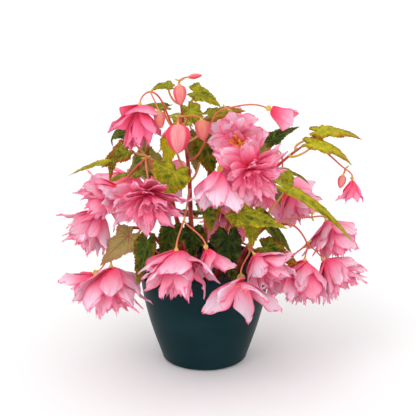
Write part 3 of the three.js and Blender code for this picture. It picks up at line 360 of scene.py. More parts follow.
# Each spray: the stem it grows on and how far up, where its flower stalks part, and its flowers: the kind,
# where the petals meet, which way it faces, its petals' length, its opening angle and their outward curl
# in degrees, and how deep its pink is, from 0 to 1.
SPRAYS = {
    "spray_top": Shoot("stem_middle", 1, (-25, -8, 302), [
        Flower("bud", (-15, -9, 306), (1, 0, 0.15), 13, 0, 0, 0.5),
        Flower("bud", (-25, -17, 299), (0.05, -0.15, -1), 20, 8, 0, 0.4),
    ]),
    "spray_top_left": Shoot("stem_middle", 0.82, (-54, -15, 292), [
        Flower("hooded", (-65, -19, 279), (-0.08, -0.3, -1), 46, 64, -18, 0.8),
        Flower("bud", (-46, -28, 275), (0.15, -0.1, -1), 18, 0, 0, 0.2),
    ]),
    "spray_upper": Shoot("stem_middle", 0.74, (-25, -26, 268), [
        Flower("bud", (-26, -42, 264), (0, -0.1, -1), 29, 35, 0, 0.9),
        Flower("bud", (-32, -32, 257), (-0.8, -0.2, -0.5), 13, 0, 0, 0.3),
        Flower("bud", (-3, -34, 267), (0.1, -0.1, -1), 21, 10, 0, 0.1),
    ]),
    "spray_upper_right": Shoot("stem_middle", 0.66, (22, -12, 274), [
        Flower("loose", (35, -18, 241), (-0.15, -0.9, 0.1), 34, 76, 14, 0.3),
        Flower("half", (68, -8, 272), (0.9, -0.2, -0.4), 31, 30, 4, 0.55),
    ]),
    "spray_centre": Shoot("stem_front", 1, (30, -56, 227), [
        Flower("rosette", (43, -62, 225), (0.2, -0.85, -0.35), 43, 74, 8, 0.55),
        Flower("single", (14, -78, 224), (-0.2, -0.4, -0.9), 44, 36, -6, 0),
    ]),
    "spray_left": Shoot("stem_left_high", 0.88, (-58, -34, 228), [
        Flower("rosette", (-55, -62, 200), (-0.05, -0.8, -0.5), 46, 68, -2, 0.55),
        Flower("bell", (-88, -38, 199), (-0.7, -0.3, -0.55), 43, 58, -8, 0.45),
    ]),
    "spray_far_left": Shoot("stem_left_low", 1, (-100, -22, 171), [
        Flower("bell", (-108, -22, 167), (-0.55, -0.1, -0.85), 46, 56, -14, 0.3),
    ]),
    "spray_low_left": Shoot("stem_left_low", 0.9, (-94, -42, 134), [
        Flower("bell", (-95, -50, 117), (0, -0.25, -1), 54, 66, -22, 0.4),
        Flower("single", (-114, -48, 109), (-0.8, -0.1, -0.5), 38, 40, -4, 0.3),
    ]),
    "spray_front": Shoot("stem_middle", 0.5, (-20, -82, 176), [
        Flower("bell", (-27, -98, 150), (0, -0.35, -1), 56, 72, -26, 0.4),
        Flower("single", (3, -97, 151), (0.3, -0.4, -0.87), 34, 42, -6, 0.5),
    ]),
    "spray_front_right": Shoot("stem_front", 0.5, (44, -56, 142), [
        Flower("wide", (36, -100, 120), (0, -0.7, -0.7), 52, 60, -10, 0),
        Flower("bell", (50, -82, 141), (0.6, -0.3, -0.7), 44, 58, -10, 0.3),
    ]),
    "spray_right": Shoot("stem_right_low", 1, (106, -26, 136), [
        Flower("bell", (103, -40, 121), (-0.1, -0.3, -0.95), 48, 58, -20, 0.45),
        Flower("bell", (124, -28, 118), (0.6, -0.15, -0.75), 46, 56, -10, 0.35),
        Flower("single", (87, -46, 117), (-0.25, -0.25, -0.95), 40, 34, -4, 0.4),
    ]),
    "spray_right_upper": Shoot("stem_right_low", 0.92, (112, -6, 158), [
        Flower("bell", (128, -4, 153), (0.35, -0.3, -0.9), 43, 62, -20, 0.4),
    ]),
    "spray_behind_right": Shoot("stem_right_high", 0.5, (80, 18, 197), [
        Flower("bell", (92, 20, 178), (0.5, 0.1, -0.85), 32, 52, -10, 0.5),
        Flower("single", (70, 30, 176), (-0.2, 0.2, -0.9), 30, 44, -6, 0.5),
    ]),
    "spray_far_right": Shoot("stem_right_high", 1, (146, -2, 209), [
        Flower("single", (154, -2, 196), (0, -0.1, -1), 27, 38, -10, 0.85),
        Flower("bud", (144, -3, 202), (-0.2, 0, -1), 14, 0, 0, 0.5),
    ]),
    "bloom_inner": Shoot("stem_right_high", 0.27, (20, 0, 192), [
        Flower("bell", (22, -12, 178), (0.1, -0.5, -0.8), 28, 58, -16, 0.5),
    ]),
    "spray_back_left": Shoot("stem_back_left", 1, (-75, 93, 203), [
        Flower("bell", (-84, 100, 176), (-0.45, 0.45, -0.75), 46, 62, -20, 0.5),
        Flower("bell", (-48, 106, 182), (0.15, 0.7, -0.6), 42, 60, -14, 0.5),
    ]),
    "spray_back_right": Shoot("stem_back_right", 1, (82, 93, 207), [
        Flower("bell", (92, 100, 158), (0.45, 0.45, -0.75), 44, 62, -20, 0.5),
        Flower("single", (58, 106, 166), (-0.1, 0.6, -0.7), 38, 42, -8, 0.5),
    ]),
    "spray_back_middle": Shoot("stem_back_middle", 1, (16, 72, 250), [
        Flower("rosette", (26, 82, 236), (0.2, 0.75, -0.55), 40, 66, -4, 0.5),
    ]),
    "spray_back_low": Shoot("stem_back_middle", 0.45, (14, 92, 154), [
        Flower("bell", (22, 98, 142), (0.1, 0.4, -0.9), 48, 64, -20, 0.5),
    ]),
}

# ---------------------------------------------------------------- vectors and lines


def unit(vector):
    vector = np.asarray(vector, float)
    return vector / np.linalg.norm(vector)


def mix(first, last, share):
    return first + (last - first) * share


def smooth(low, high, value):
    """From 0 at low to 1 at high, without a corner."""
    share = np.clip((value - low) / (high - low), 0, 1)
    return share * share * (3 - 2 * share)


def round_turns(count):
    """The turns of a ring's points, in radians."""
    return np.arange(count) * CIRCLE / count


def blade_frame(aim, face):
    """A blade's own directions: along its midrib, out of its upper side, and to its left."""
    along = unit(aim)
    face = np.asarray(face, float)
    up = unit(face - along * np.dot(face, along))
    return along, up, np.cross(up, along)


def axis_frame(aim):
    """The same for a round body, whose upper side faces up or, on an upright axis, to the front."""
    axis = unit(aim)
    return blade_frame(axis, (0, -1, 0) if abs(axis[2]) > 0.9 else (0, 0, 1))


class Line:
    """A curve through many points, read by shares of its length."""

    def __init__(self, points):
        self.points = np.asarray(points, float)
        steps = np.linalg.norm(np.diff(self.points, axis=0), axis=1)
        self.reach = np.concatenate([[0], np.cumsum(steps)])
        self.length = self.reach[-1]

    def at(self, shares):
        want = np.asarray(shares, float) * self.length
        return np.stack([np.interp(want, self.reach, self.points[:, k]) for k in range(3)], axis=-1)

    def heading(self, share):
        low, high = self.at([max(share - 0.01, 0), min(share + 0.01, 1)])
        return unit(high - low)


def through(points, per_step=24):
    """Points of a smooth curve through the given ones."""
    given = np.asarray(points, float)
    outer = np.vstack([2 * given[0] - given[1], given, 2 * given[-1] - given[-2]])
    t = np.linspace(0, 1, per_step, endpoint=False)[:, None]
    made = []
    for before, start, end, after in zip(outer, outer[1:], outer[2:], outer[3:]):
        leave, arrive = (end - before) / 2, (after - start) / 2
        ends = (2 * t**3 - 3 * t**2 + 1) * start + (3 * t**2 - 2 * t**3) * end
        made.append(ends + (t**3 - 2 * t**2 + t) * leave + (t**3 - t**2) * arrive)
    return np.vstack([*made, given[-1:]])


def arc(root, heading, end, arrival):
    """Points of a stalk that sets off in one direction and arrives in another."""
    reach = STALK["reach"] * np.linalg.norm(end - root)
    first, last = root + heading * reach, end - arrival * reach
    t = np.linspace(0, 1, 20)[:, None]
    return (1 - t) ** 3 * root + 3 * t * (1 - t) ** 2 * first + 3 * t**2 * (1 - t) * last + t**3 * end


# ---------------------------------------------------------------- meshes


class Skin:
    """Points, faces and named values for each point, which grow into one mesh. A face has four corners,
    or three and then -1."""

    def __init__(self):
        self.points, self.faces, self.values = [], [], []
        self.count = 0

    def add(self, points, faces, **values):
        faces = np.asarray(faces, int)
        self.points.append(points)
        self.faces.append(np.where(faces < 0, -1, faces + self.count))
        self.count += len(points)
        self.values.append((len(points), values))

    def value(self, name):
        """A named value at every point, which is 0 where it wasn't given."""
        given = [(count, np.asarray(values.get(name, 0), float)) for count, values in self.values]
        width = (3,) if any(value.ndim == 2 for _, value in given) else ()
        return np.concatenate([np.broadcast_to(value, (count, *width)) for count, value in given])

    def piece(self, name, material, slot, node, sharp=50):
        """The finished piece, which rides on the part and stands for a node of the frame."""
        corners = np.vstack(self.faces)
        sizes = np.where(corners[:, 3] < 0, 3, 4)
        loops = corners[corners >= 0]
        starts = np.concatenate([[0], np.cumsum(sizes)[:-1]])
        mesh = bpy.data.meshes.new(name)
        mesh.vertices.add(self.count)
        mesh.vertices.foreach_set("co", (np.vstack(self.points) * MM).astype(np.float32).ravel())
        mesh.loops.add(len(loops))
        mesh.loops.foreach_set("vertex_index", loops.astype(np.int32))
        mesh.polygons.add(len(sizes))
        mesh.polygons.foreach_set("loop_start", starts.astype(np.int32))
        mesh.update(calc_edges=True)
        mesh.validate()
        for label in sorted({label for _, values in self.values for label in values}):
            values = self.value(label).astype(np.float32)
            kind, field = ("FLOAT", "value") if values.ndim == 1 else ("FLOAT_VECTOR", "vector")
            mesh.attributes.new(label, kind, "POINT").data.foreach_set(field, values.ravel())
        mesh.shade_smooth()
        mesh.set_sharp_from_angle(angle=math.radians(sharp))
        mesh.materials.append(MATERIALS[material])
        made = bpy.data.objects.new(name, mesh)
        bpy.context.scene.collection.objects.link(made)
        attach(made, "root")
        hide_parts(node)


def normals_of(points, faces):
    """The mean direction of the faces round each point."""
    a, b, c, d = (points[faces[:, k]] for k in range(4))
    three = faces[:, 3] < 0
    face_normals = np.cross(c - a, np.where(three[:, None], a, d) - b)
    found = np.zeros_like(points)
    for k in range(4):
        used = faces[:, k] >= 0
        np.add.at(found, faces[used, k], face_normals[used])
    size = np.linalg.norm(found, axis=1, keepdims=True)
    return found / np.maximum(size, 1e-9)


def sheet(skin, points, faces, border, thickness, **values):
    """Both faces of a thin sheet and the strip that closes them along the border, which has the surface on
    its left. The second half of the points is the underside, which takes the same values."""
    offset = normals_of(points, faces) * np.reshape(thickness, (-1, 1)) / 2
    count = len(points)
    back = np.where((faces[:, 3] < 0)[:, None], faces[:, [2, 1, 0, 3]], faces[:, ::-1])
    back = np.where(back < 0, -1, back + count)
    after = np.roll(border, -1)
    strip = np.stack([border, border + count, after + count, after], axis=1)
    doubled = {
        name: np.concatenate([value, value]) if len(np.shape(value)) and len(value) == count else value
        for name, value in values.items()
    }
    skin.add(np.vstack([points + offset, points - offset]), np.vstack([faces, back, strip]), **doubled)


def grid_faces(rows, columns, wrap=False):
    """Faces between rows of points that are numbered row by row."""
    i = np.arange(rows - 1)[:, None] * columns
    j = np.arange(columns if wrap else columns - 1)[None, :]
    after = (j + 1) % columns
    return np.stack([i + j, i + columns + j, i + columns + after, i + after], axis=-1).reshape(-1, 4)


def fan(centre, start, sides, flip=False):
    """Faces from one point to the sides of a ring, whose first point has the number start."""
    k = np.arange(sides)
    first, second = ((k + 1) % sides, k) if flip else (k, (k + 1) % sides)
    return np.stack([np.full(sides, centre), start + first, start + second, np.full(sides, -1)], axis=1)


def ring_faces(rows, sides, flip=False):
    """Faces of a closed body: its rings of points, then one point for each of its two ends."""
    round_faces = grid_faces(rows, sides, wrap=True)
    low = fan(rows * sides, 0, sides, flip)
    high = fan(rows * sides + 1, (rows - 1) * sides, sides, not flip)
    return np.vstack([round_faces[:, ::-1] if flip else round_faces, low, high])


def pattern_spots(x, y, chance):
    """Where a flat pattern is read at each point, and on which of its layers."""
    return np.stack([x, y, np.full(x.shape, chance * APART)], axis=-1).reshape(-1, 3)


def tube(skin, points, radii, sides, **values):
    """A round stalk along points, with a flat end at each side. Values may differ from ring to ring."""
    points = np.asarray(points, float)
    count = len(points)
    tangents = np.gradient(points, axis=0)
    tangents /= np.linalg.norm(tangents, axis=1, keepdims=True)
    across = np.array([1.0, 0, 0]) if abs(tangents[0][2]) > 0.9 else np.array([0, 0, 1.0])
    turns = round_turns(sides)
    rings = []
    for point, tangent, radius in zip(points, tangents, np.broadcast_to(radii, count)):
        across = unit(across - tangent * np.dot(across, tangent))
        other = np.cross(tangent, across)
        rings.append(point + radius * (np.outer(np.cos(turns), across) + np.outer(np.sin(turns), other)))
    spread = {}
    for name, value in values.items():
        value = np.broadcast_to(np.asarray(value, float), count)
        spread[name] = np.concatenate([np.repeat(value, sides), value[[0, -1]]])
    skin.add(np.vstack([*rings, points[[0, -1]]]), ring_faces(count, sides, flip=True), **spread)


def turned(skin, profile, segments, at=(0, 0, 0), axis=(0, 0, 1), shape=None, **values):
    """A body turned about an axis from (radius, height) points that start and end on it. Shape changes
    the radius with the turn."""
    profile = np.asarray(profile, float)
    at = np.asarray(at, float)
    along, up, side = axis_frame(axis)
    turns = round_turns(segments)
    scale = np.ones(segments) if shape is None else shape(turns)
    ring = np.outer(np.cos(turns) * scale, up) + np.outer(np.sin(turns) * scale, side)
    inner = profile[1:-1]
    body = at + ring[None] * inner[:, None, :1] + along * inner[:, None, 1:]
    ends = at + along * profile[[0, -1], 1:]
    heights = profile[:, 1]
    share = (heights - heights.min()) / np.ptp(heights)
    along_values = np.concatenate([np.repeat(share[1:-1], segments), share[[0, -1]]])
    points = np.vstack([body.reshape(-1, 3), ends])
    skin.add(points, ring_faces(len(inner), segments), along=along_values, **values)


# ---------------------------------------------------------------- stems and stalks


def stem_line(name):
    path = STEMS[name].path
    x, y, z = path[0]
    return Line(through([(x, y, z - STEM["buried"]), *path]))


STEM_LINES = {name: stem_line(name) for name in STEMS}


def build_stem(name):
    """A fleshy stem, a little thicker at each joint."""
    line = STEM_LINES[name]
    shares = np.linspace(0, 1, STEM["stations"])
    joints = np.maximum(np.cos(shares * line.length / STEM["joint_step"] * CIRCLE), 0) ** 6
    radii = mix(*STEMS[name].radius, shares) * (1 + STEM["joint"] * joints)
    radii[-2:] *= (0.86, 0.5)
    skin = Skin()
    tube(skin, line.at(shares), radii, STEM["sides"], along=shares, joint=joints)
    skin.piece(f"{name}_flesh", "stem", "stem", name)


def budding(shoot, target):
    """Where a shoot's stalk grows out of its stem, a little way inside it, and its heading there."""
    line = STEM_LINES[shoot.stem]
    if shoot.share == 1:
        heading = line.heading(1)
        return line.at(1) - heading, heading
    above = mix(STEM["buried"] / line.length, 1, shoot.share)
    centre, along = line.at(above), line.heading(above)
    heading = np.asarray(target, float) - centre
    heading = unit(heading - along * np.dot(heading, along))
    return centre + heading * mix(*STEMS[shoot.stem].radius, above) * STEM["sunk"], heading


def stalk_lines(shoot, ends, arrivals):
    """The stalks of a shoot: one from the stem, through the fork, to the first end, and one from the fork
    to each other end. Without a fork there is only the one."""
    first = np.asarray(shoot.fork or ends[0], float)
    root, heading = budding(shoot, first)
    if shoot.fork is None:
        return [arc(root, heading, first, arrivals[0])]
    up = unit(first - root) * STALK["onward"]
    lines = []
    for i, (end, arrival) in enumerate(zip(ends, arrivals)):
        start = unit(unit(end - first) + up * (STALK["aside"] if i else 1))
        if i:
            lines.append(arc(first - start * 0.6, start, end, arrival))
        else:
            onward = arc(first, start, end, arrival)
            lines.append(np.vstack([arc(root, heading, first, start)[:-1], onward]))
    return lines


def grow_stalks(skin, shoot, ends, arrivals, radius, draw, tint):
    """A shoot's stalks, which are thicker at both ends and as ripe as the tint says."""
    shares = np.linspace(0, 1, STALK["stations"])
    swelling = 1 + 0.5 * smooth(0.08, 0, shares) + 0.25 * smooth(0.94, 1, shares)
    for i, points in enumerate(stalk_lines(shoot, ends, arrivals)):
        first = radius * (STALK["taper"] if i == 0 else 1)
        radii = mix(first, radius * 0.9, shares) * swelling
        points = Line(points).at(shares)
        tube(skin, points, radii, STALK["sides"], along=shares, ripe=tint, chance=draw.random())


# ---------------------------------------------------------------- leaves


def blade_points(blade, s, v, rise):
    """Points of a blade, s of the way along its midrib, v millimetres to its left, and raised by rise."""
    along, up, side = blade_frame(blade.aim, blade.face)
    length = blade.size[0]
    bend = math.radians(blade.droop)
    turn = bend * np.maximum(s, 0)
    forward = np.where(s > 0, np.sin(turn) / bend, s)
    down = (1 - np.cos(turn)) / bend
    x = length * forward + rise * np.sin(turn)
    z = -length * down + rise * np.cos(turn)
    return np.asarray(blade.at, float) + x[:, None] * along + z[:, None] * up + v[:, None] * side


def leaf_border(length, half, skew, draw):
    """The toothed outline of a leaf, in millimetres along its midrib and to its left, from the stalk round
    its right side to the tip and back on its left."""
    sides = []
    for side in (-1, 1):
        edge = np.array(LEAF_EDGE, float) * (length, half * (1 + side * skew))
        line = Line(np.pad(through(edge, 12), ((0, 0), (0, 1))))
        shares = np.linspace(0, 1, LEAF["points"])
        spots = line.at(shares)[:, :2]
        tangents = np.gradient(spots, axis=0)
        outward = np.stack([-tangents[:, 1], tangents[:, 0]], axis=1)
        outward /= np.linalg.norm(outward, axis=1, keepdims=True)
        teeth = max(8, round(line.length / LEAF["tooth_step"]))
        phase = (shares * teeth + 0.35 * np.sin(shares * teeth * 1.7 + 6 * draw.random())) % 1
        size = LEAF["tooth"] * (0.5 + half / 26)
        size = size * smooth(0.02, 0.16, shares) * (1 - 0.6 * smooth(0.8, 1, shares))
        lobe = LEAF["lobe"] * np.sin(shares * (5 + 2 * draw.random()) * math.pi)
        lobe = lobe * smooth(0.1, 0.3, shares) * (1 - shares)
        spots += outward * (size * ((phase**1.4 - 0.45) * 1.3 + lobe))[:, None]
        spots[:, 1] *= side
        sides.append(spots)
    right, left = sides
    return np.vstack([right, left[-2:0:-1]])


def leaf_veins(length, half, skew):
    """The veins as straight lines on the flat blade: where each starts and ends, and how strong it is."""
    heart = np.array([LEAF["heart"] * length, 0.0])
    tip = np.array([length, 0.0])
    lines = [(heart, tip, 1.0)]
    for side in (-1, 1):
        wide = half * (1 + side * skew) * side
        for s, share in VEIN_ENDS:
            end = np.array([s * length, share * wide])
            lines.append((heart, end, 0.8))
            for where in VEIN_FORKS:
                start = mix(heart, end, where)
                lines.append((start, start + (end - heart) * 0.2 + np.array([0.1 * length, 0]), 0.45))
        for where in MIDRIB_FORKS:
            reach = 0.9 * wide * np.interp(where + 0.12, *MIDRIB_REACH)
            lines.append((mix(heart, tip, where), np.array([(where + 0.13) * length, reach]), 0.5))
    return lines


def vein_map(spots, lines):
    """How near each spot is to a vein, from 0 to 1, and its distance to the nearest."""
    near = np.zeros(len(spots))
    closest = np.full(len(spots), 1e3)
    for start, end, strength in lines:
        way = end - start
        share = np.clip(((spots - start) @ way) / (way @ way), 0, 1)
        distance = np.linalg.norm(spots - start - share[:, None] * way, axis=1)
        width = mix(0.75, 0.3, share) * (0.6 + 0.4 * strength)
        near = np.maximum(near, strength * np.exp(-((distance / width) ** 2)))
        closest = np.minimum(closest, distance)
    return near, closest


def grow_blade(skin, blade, skew, draw):
    """One blade as a closed thin sheet, whose points lie on rings between its heart and its outline."""
    length, half = blade.size[0], blade.size[1] / 2
    border = leaf_border(length, half, skew, draw)
    heart = np.array([LEAF["heart"] * length, 0.0])
    count, rings = len(border), LEAF["rings"]
    shares = (np.arange(1, rings + 1) / rings) ** 0.85
    flat = np.vstack([heart[None], *(mix(heart, border, share) for share in shares)])
    out = np.concatenate([[0], np.repeat(shares, count)])
    near, closest = vein_map(flat, leaf_veins(length, half, skew))

    x, v = flat[:, 0], flat[:, 1]
    phase = draw.random(4) * CIRCLE
    turn = np.arctan2(v, x - heart[0])
    waves = np.sin(turn * 5 + phase[0]) * 0.6 + np.sin(turn * 9 + phase[1]) * 0.4
    rise = LEAF["fold"] * np.sqrt(v * v + 1) + LEAF["cup"] * v * v / half
    rise += LEAF["wave"] * (half / 13) * waves * out**3
    rise += LEAF["pucker"] * (1 - np.exp(-closest / 1.6)) * (1 - out**4)
    rise -= LEAF["drop"] * half * smooth(0.8, 1, out) * (0.5 + 0.5 * np.sin(turn * 2 + phase[2]))
    sway = LEAF["sway"] * math.sin(phase[3]) * half * (np.maximum(x, 0) / length) ** 2
    points = blade_points(blade, x / length, v + sway, rise)

    faces = np.vstack([fan(0, 1, count), grid_faces(rings, count, wrap=True) + 1])
    rim = 1 + (rings - 1) * count + np.arange(count)
    values = {"tone": blade.tone, "blush": blade.blush, "vein": near, "closest": closest, "out": out}
    values["under"] = np.repeat([blade.pale, 1.0], len(points))
    values["spot"] = pattern_spots(x, v, draw.random())
    sheet(skin, points, faces, rim, LEAF["thickness"] * (1 - 0.4 * out), **values)


def build_leaf(name, order):
    """A leaf or a shoot of leaves: one piece for its blades and one for its stalks."""
    shoot = LEAVES[name]
    draw = np.random.default_rng(SEEDS["leaf"] + order)
    blades, stalks = Skin(), Skin()
    ends, arrivals = [], []
    for i, blade in enumerate(shoot.heads):
        grow_blade(blades, blade, LEAF["skew"] if (i + order) % 2 else -LEAF["skew"], draw)
        start = np.array([LEAF["sunk"] / blade.size[0]])
        ends.append(blade_points(blade, start, np.zeros(1), np.zeros(1))[0])
        arrivals.append(blade_frame(blade.aim, blade.face)[1])
    tint = 0.25 + 0.5 * shoot.heads[0].tone
    grow_stalks(stalks, shoot, ends, arrivals, STALK["leaf_radius"], draw, tint)
    blades.piece(f"{name}_blade", "leaf", "leaf", name)
    stalks.piece(f"{name}_stalk", "stalk", "stem", name)


# ---------------------------------------------------------------- flowers


def petal_width(shape, s):
    """A petal's half width along its length, as a share of its greatest."""
    start, widest, _, end, _ = PETAL_SHAPES[shape]
    rising = start + (1 - start) * np.sin(math.pi / 2 * np.clip(s / widest, 0, 1))
    falling = end + (1 - end) * np.cos(math.pi / 2 * np.clip((s - widest) / (1 - widest), 0, 1))
    return np.where(s < widest, rising, falling)


def grow_petal(skin, at, frame, size, bend, shape, draw, **values):
    """A petal as a closed thin sheet: cupped, ribbed, wavy at its margin and notched across its tip. It
    has rows of points, s of the way along it, and columns at t from -1 to 1 across it."""
    rows, columns = PETAL["rows"], PETAL["columns"]
    (along, up), (length, half) = frame, size
    _, _, rounding, _, notch = PETAL_SHAPES[shape]
    u = np.linspace(0, 1, rows)[:, None]
    s = 0.5 * u + 0.5 * np.sin(math.pi / 2 * u)
    t = np.linspace(-1, 1, columns)
    tip, sway, roll, twist, ruffle, crease = draw.uniform(-1, 1, 6)
    phases = draw.random(4) * CIRCLE
    near, far = (np.where(t < 0, phases[k], phases[k + 1]) for k in (0, 1))
    # Each strip of the petal ends at its own length, which rounds and notches the tip.
    ends = 1 - rounding * np.abs(t) ** 2.4 - notch * draw.random(columns)
    shares = s * (1 - (1 - ends) * s**4)

    # The midrib's path, in short straight steps that turn more and more.
    fine = np.linspace(0, 1, 60)
    angle = bend * fine + math.radians(PETAL["tip"]) * (tip - 0.15) * smooth(0.5, 1, fine)
    steps = length * np.diff(fine)
    paths = (np.concatenate([[0], np.cumsum(part(angle[1:]) * steps)]) for part in (np.cos, np.sin))
    forward, down = (np.interp(shares, fine, path)[..., None] for path in paths)

    v = petal_width(shape, s) * half * t * (1 + 0.1 * np.sin(s * 9 + near))
    margin = t**2 * smooth(0.15, 0.85, s)
    waves = np.sin(s * PETAL["waves"] * CIRCLE + far)
    rise = PETAL["cup"] * (1 + 0.6 * ruffle) * v * v / half
    rise += PETAL["crease"] * (0.6 + 0.4 * crease) * np.abs(v) * (1 - 0.5 * s)
    rise += PETAL["rib"] * np.cos(t * PETAL["ribs"] * math.pi + phases[0]) * np.sin(math.pi * s)
    rise += PETAL["ruffle"] * (1 + 0.5 * ruffle) * length * margin * waves
    rise += PETAL["frill"] * length * smooth(0.6, 1, s) * np.sin(t * 2.6 * math.pi + phases[3])
    drift = PETAL["sway"] * sway * length * shares[..., None] ** 2

    side = np.cross(up, along)
    turned_by = np.interp(shares, fine, angle)[..., None]
    spin = PETAL["roll"] * (0.6 + 0.4 * roll) + PETAL["twist"] * twist * s[..., None]
    leaned = np.cos(turned_by) * up + np.sin(turned_by) * along
    across = np.cos(spin) * side + np.sin(spin) * leaned
    normal = np.cos(spin) * leaned - np.sin(spin) * side
    midrib = at + forward * along - down * up + drift * side
    points = (midrib + v[..., None] * across + rise[..., None] * normal).reshape(-1, 3)

    index = np.arange(rows * columns).reshape(rows, columns)
    border = np.concatenate([index[:-1, 0], index[-1, :-1], index[:0:-1, -1], index[0, :0:-1]])
    thickness = PETAL["thickness"] * np.repeat(mix(1.3, 0.6, s), columns)
    values["chance"] = draw.random()
    values["along"] = shares.ravel()
    values["across"] = np.maximum(np.abs(t), smooth(0.8, 1, s)).ravel()
    values["spot"] = pattern_spots(v, shares * length, values["chance"])
    sheet(skin, points, grid_faces(rows, columns), border, thickness, **values)


def flower_frame(face):
    """A flower's axis, and a function that gives the direction outwards from it at a turn."""
    axis, up, side = axis_frame(face)
    return axis, lambda turn: up * math.cos(turn) + side * math.sin(turn)


def grow_petals(skin, flower, draw):
    """All the layers of petals of a flower, none quite like another."""
    axis, outward = flower_frame(flower.face)
    layers = LAYERS[flower.kind]
    for depth, layer in enumerate(layers):
        start = draw.random() if depth else FIRST_TURN.get(flower.kind, 0)
        heart = np.asarray(flower.at, float) + axis * depth * LAYER_STEP
        layer_tilt = LAYER_TILT * (1 if depth % 2 else -1)
        # Depth runs from 0 on the outer layer to 1 on the inner; the petal paint deepens inner layers by it
        # as painted shade.
        shares = {"depth": depth / max(len(layers) - 1, 1), "tone": flower.tone}
        for k in range(layer.count):
            turn, opening, length, width, curl, tilt = draw.uniform(-1, 1, 6)
            out = outward((k + start + JITTER["turn"] * turn) * CIRCLE / layer.count)
            angle = math.radians(flower.open * layer.open + JITTER["open"][depth > 0] * opening)
            along = axis * math.cos(angle) + out * math.sin(angle)
            up = axis * math.sin(angle) - out * math.cos(angle)
            up = unit(up + (layer_tilt + JITTER["tilt"] * tilt) * np.cross(axis, out))
            up = unit(up - along * np.dot(up, along))
            reach = flower.length * layer.length * (1 + JITTER["length"] * length)
            half = reach * layer.width / 2 * (1 + JITTER["width"] * width)
            bend = math.radians(flower.curl * layer.curl + JITTER["bend"] * curl)
            grow_petal(skin, heart, (along, up), (reach, half), bend, layer.shape, draw, **shares)


def winged(turns):
    """The outline across a seed vessel: a round body with three wings."""
    return 0.6 + 0.75 * np.abs(np.cos(turns * 1.5)) ** 7


def vessel_size(flower):
    """The length and radius of what is behind a flower. A swelling's radius is in its profile instead."""
    return (share * flower.length for share in VESSEL.get(flower.kind, (SWELLING, 0)))


def grow_vessel(skin, flower):
    """What is behind a flower: a three-winged seed vessel on some kinds, and else a small swelling."""
    axis = unit(flower.face)
    at = np.asarray(flower.at, float)
    length, radius = vessel_size(flower)
    if flower.kind == "bud":
        turned(skin, BUD_CUP, 12, at - axis * 2.2, axis, ripe=0.55, chance=0.4)
    elif flower.kind in VESSEL:
        u = np.linspace(0, 1, 14)
        profile = np.stack([radius * np.sin(math.pi * u**0.8) ** 0.8, u * length * 1.1], axis=1)
        profile[[0, -1], 0] = 0
        turned(skin, profile, 42, at - axis * length, axis, winged, ripe=0.8, chance=0.5)
    else:
        turned(skin, FLOWER_CUP, 12, at - axis * (length + 0.5), axis, ripe=0.7, chance=0.4)


def grow_heart(skin, flower, draw):
    """The golden stigmas or stamens in the middle of a flower: short stalks with thick, curled ends."""
    axis, outward = flower_frame(flower.face)
    count, reach = HEARTS[flower.kind]
    u = np.linspace(0, 1, HEART["stations"])
    radii = mix(*HEART["radii"], smooth(0.5, 0.9, u)) * np.sqrt(1 - smooth(0.9, 1.02, u) * 0.8)
    w = u[:, None]
    for k in range(count):
        turn, tilt, length, bend = draw.uniform(-1, 1, 4)
        out = outward((k + 0.3 * turn) / count * CIRCLE * 1.618)
        lean = (0.25 + 0.5 * ((k + 0.5) / count)) * (1 + 0.3 * tilt)
        size = reach * (1 + 0.2 * length)
        curl = HEART["curl"] * size * np.sin(w * 5 + 3 * bend) * w
        line = flower.at + axis * size * w + out * (size * lean * w**1.4) + np.cross(axis, out) * curl
        tube(skin, line, radii, HEART["sides"], along=u, chance=draw.random())


def bud_lens(turns):
    """The outline across a bud: two shallow, ribbed arcs that meet in an edge on each side."""
    flat, front, side = BUD["flatness"], np.abs(np.cos(turns)), np.sin(turns) ** 2 + 1e-6
    arcs = (np.sqrt(front**2 + 4 * flat**2 * side) - front) / (2 * flat * side)
    return arcs * (1 + BUD["rib"] * np.cos(turns * BUD["ribs"]))


def grow_bud(skin, flower, draw):
    """A bud: two petals that lie face to face, thin where their margins meet, wider as they open."""
    half = BUD["width"] * flower.length * (1 + flower.open / 100)
    profile = through([(r * half, y * flower.length, 0) for r, y in BUD_PROFILE], 6)[:, :2]
    profile[[0, -1], 0] = 0
    segments = BUD["segments"]
    rings = len(profile) - 2
    turns = round_turns(segments)
    round_it = np.tile(np.abs(turns - math.pi) * half, rings)
    spots = pattern_spots(round_it, np.repeat(profile[1:-1, 1], segments), draw.random())
    edges = np.concatenate([np.tile(np.abs(np.sin(turns)) ** 5, rings), [0.3, 0.3]])
    values = {"across": edges, "chance": 0.5, "tone": flower.tone, "closed": 1}
    values["spot"] = np.vstack([spots, np.zeros((2, 3))])
    turned(skin, profile, segments, flower.at, flower.face, bud_lens, **values)


def stalk_end(flower):
    """Where a flower's stalk ends, a little way inside what is behind it."""
    length, _ = vessel_size(flower)
    inside = 1 if flower.kind == "bud" else 0.5 - length
    return np.asarray(flower.at, float) + unit(flower.face) * inside


def grow_bracts(skin, fork, heading, draw):
    """Two pale scales where flower stalks part."""
    shares = np.linspace(0, 1, BRACT["stations"])
    radii = BRACT["width"] * np.sin(mix(0.35, math.pi, shares)) ** 0.8 + 0.1
    for side in (-1, 1):
        out = unit(np.cross(heading, (0.2, 1, 0.1))) * side
        line = fork + np.outer(shares, out * 4 + heading * 1.5) * BRACT["length"] / 4.3
        tube(skin, line, radii, STALK["sides"], along=shares, ripe=1, chance=draw.random())


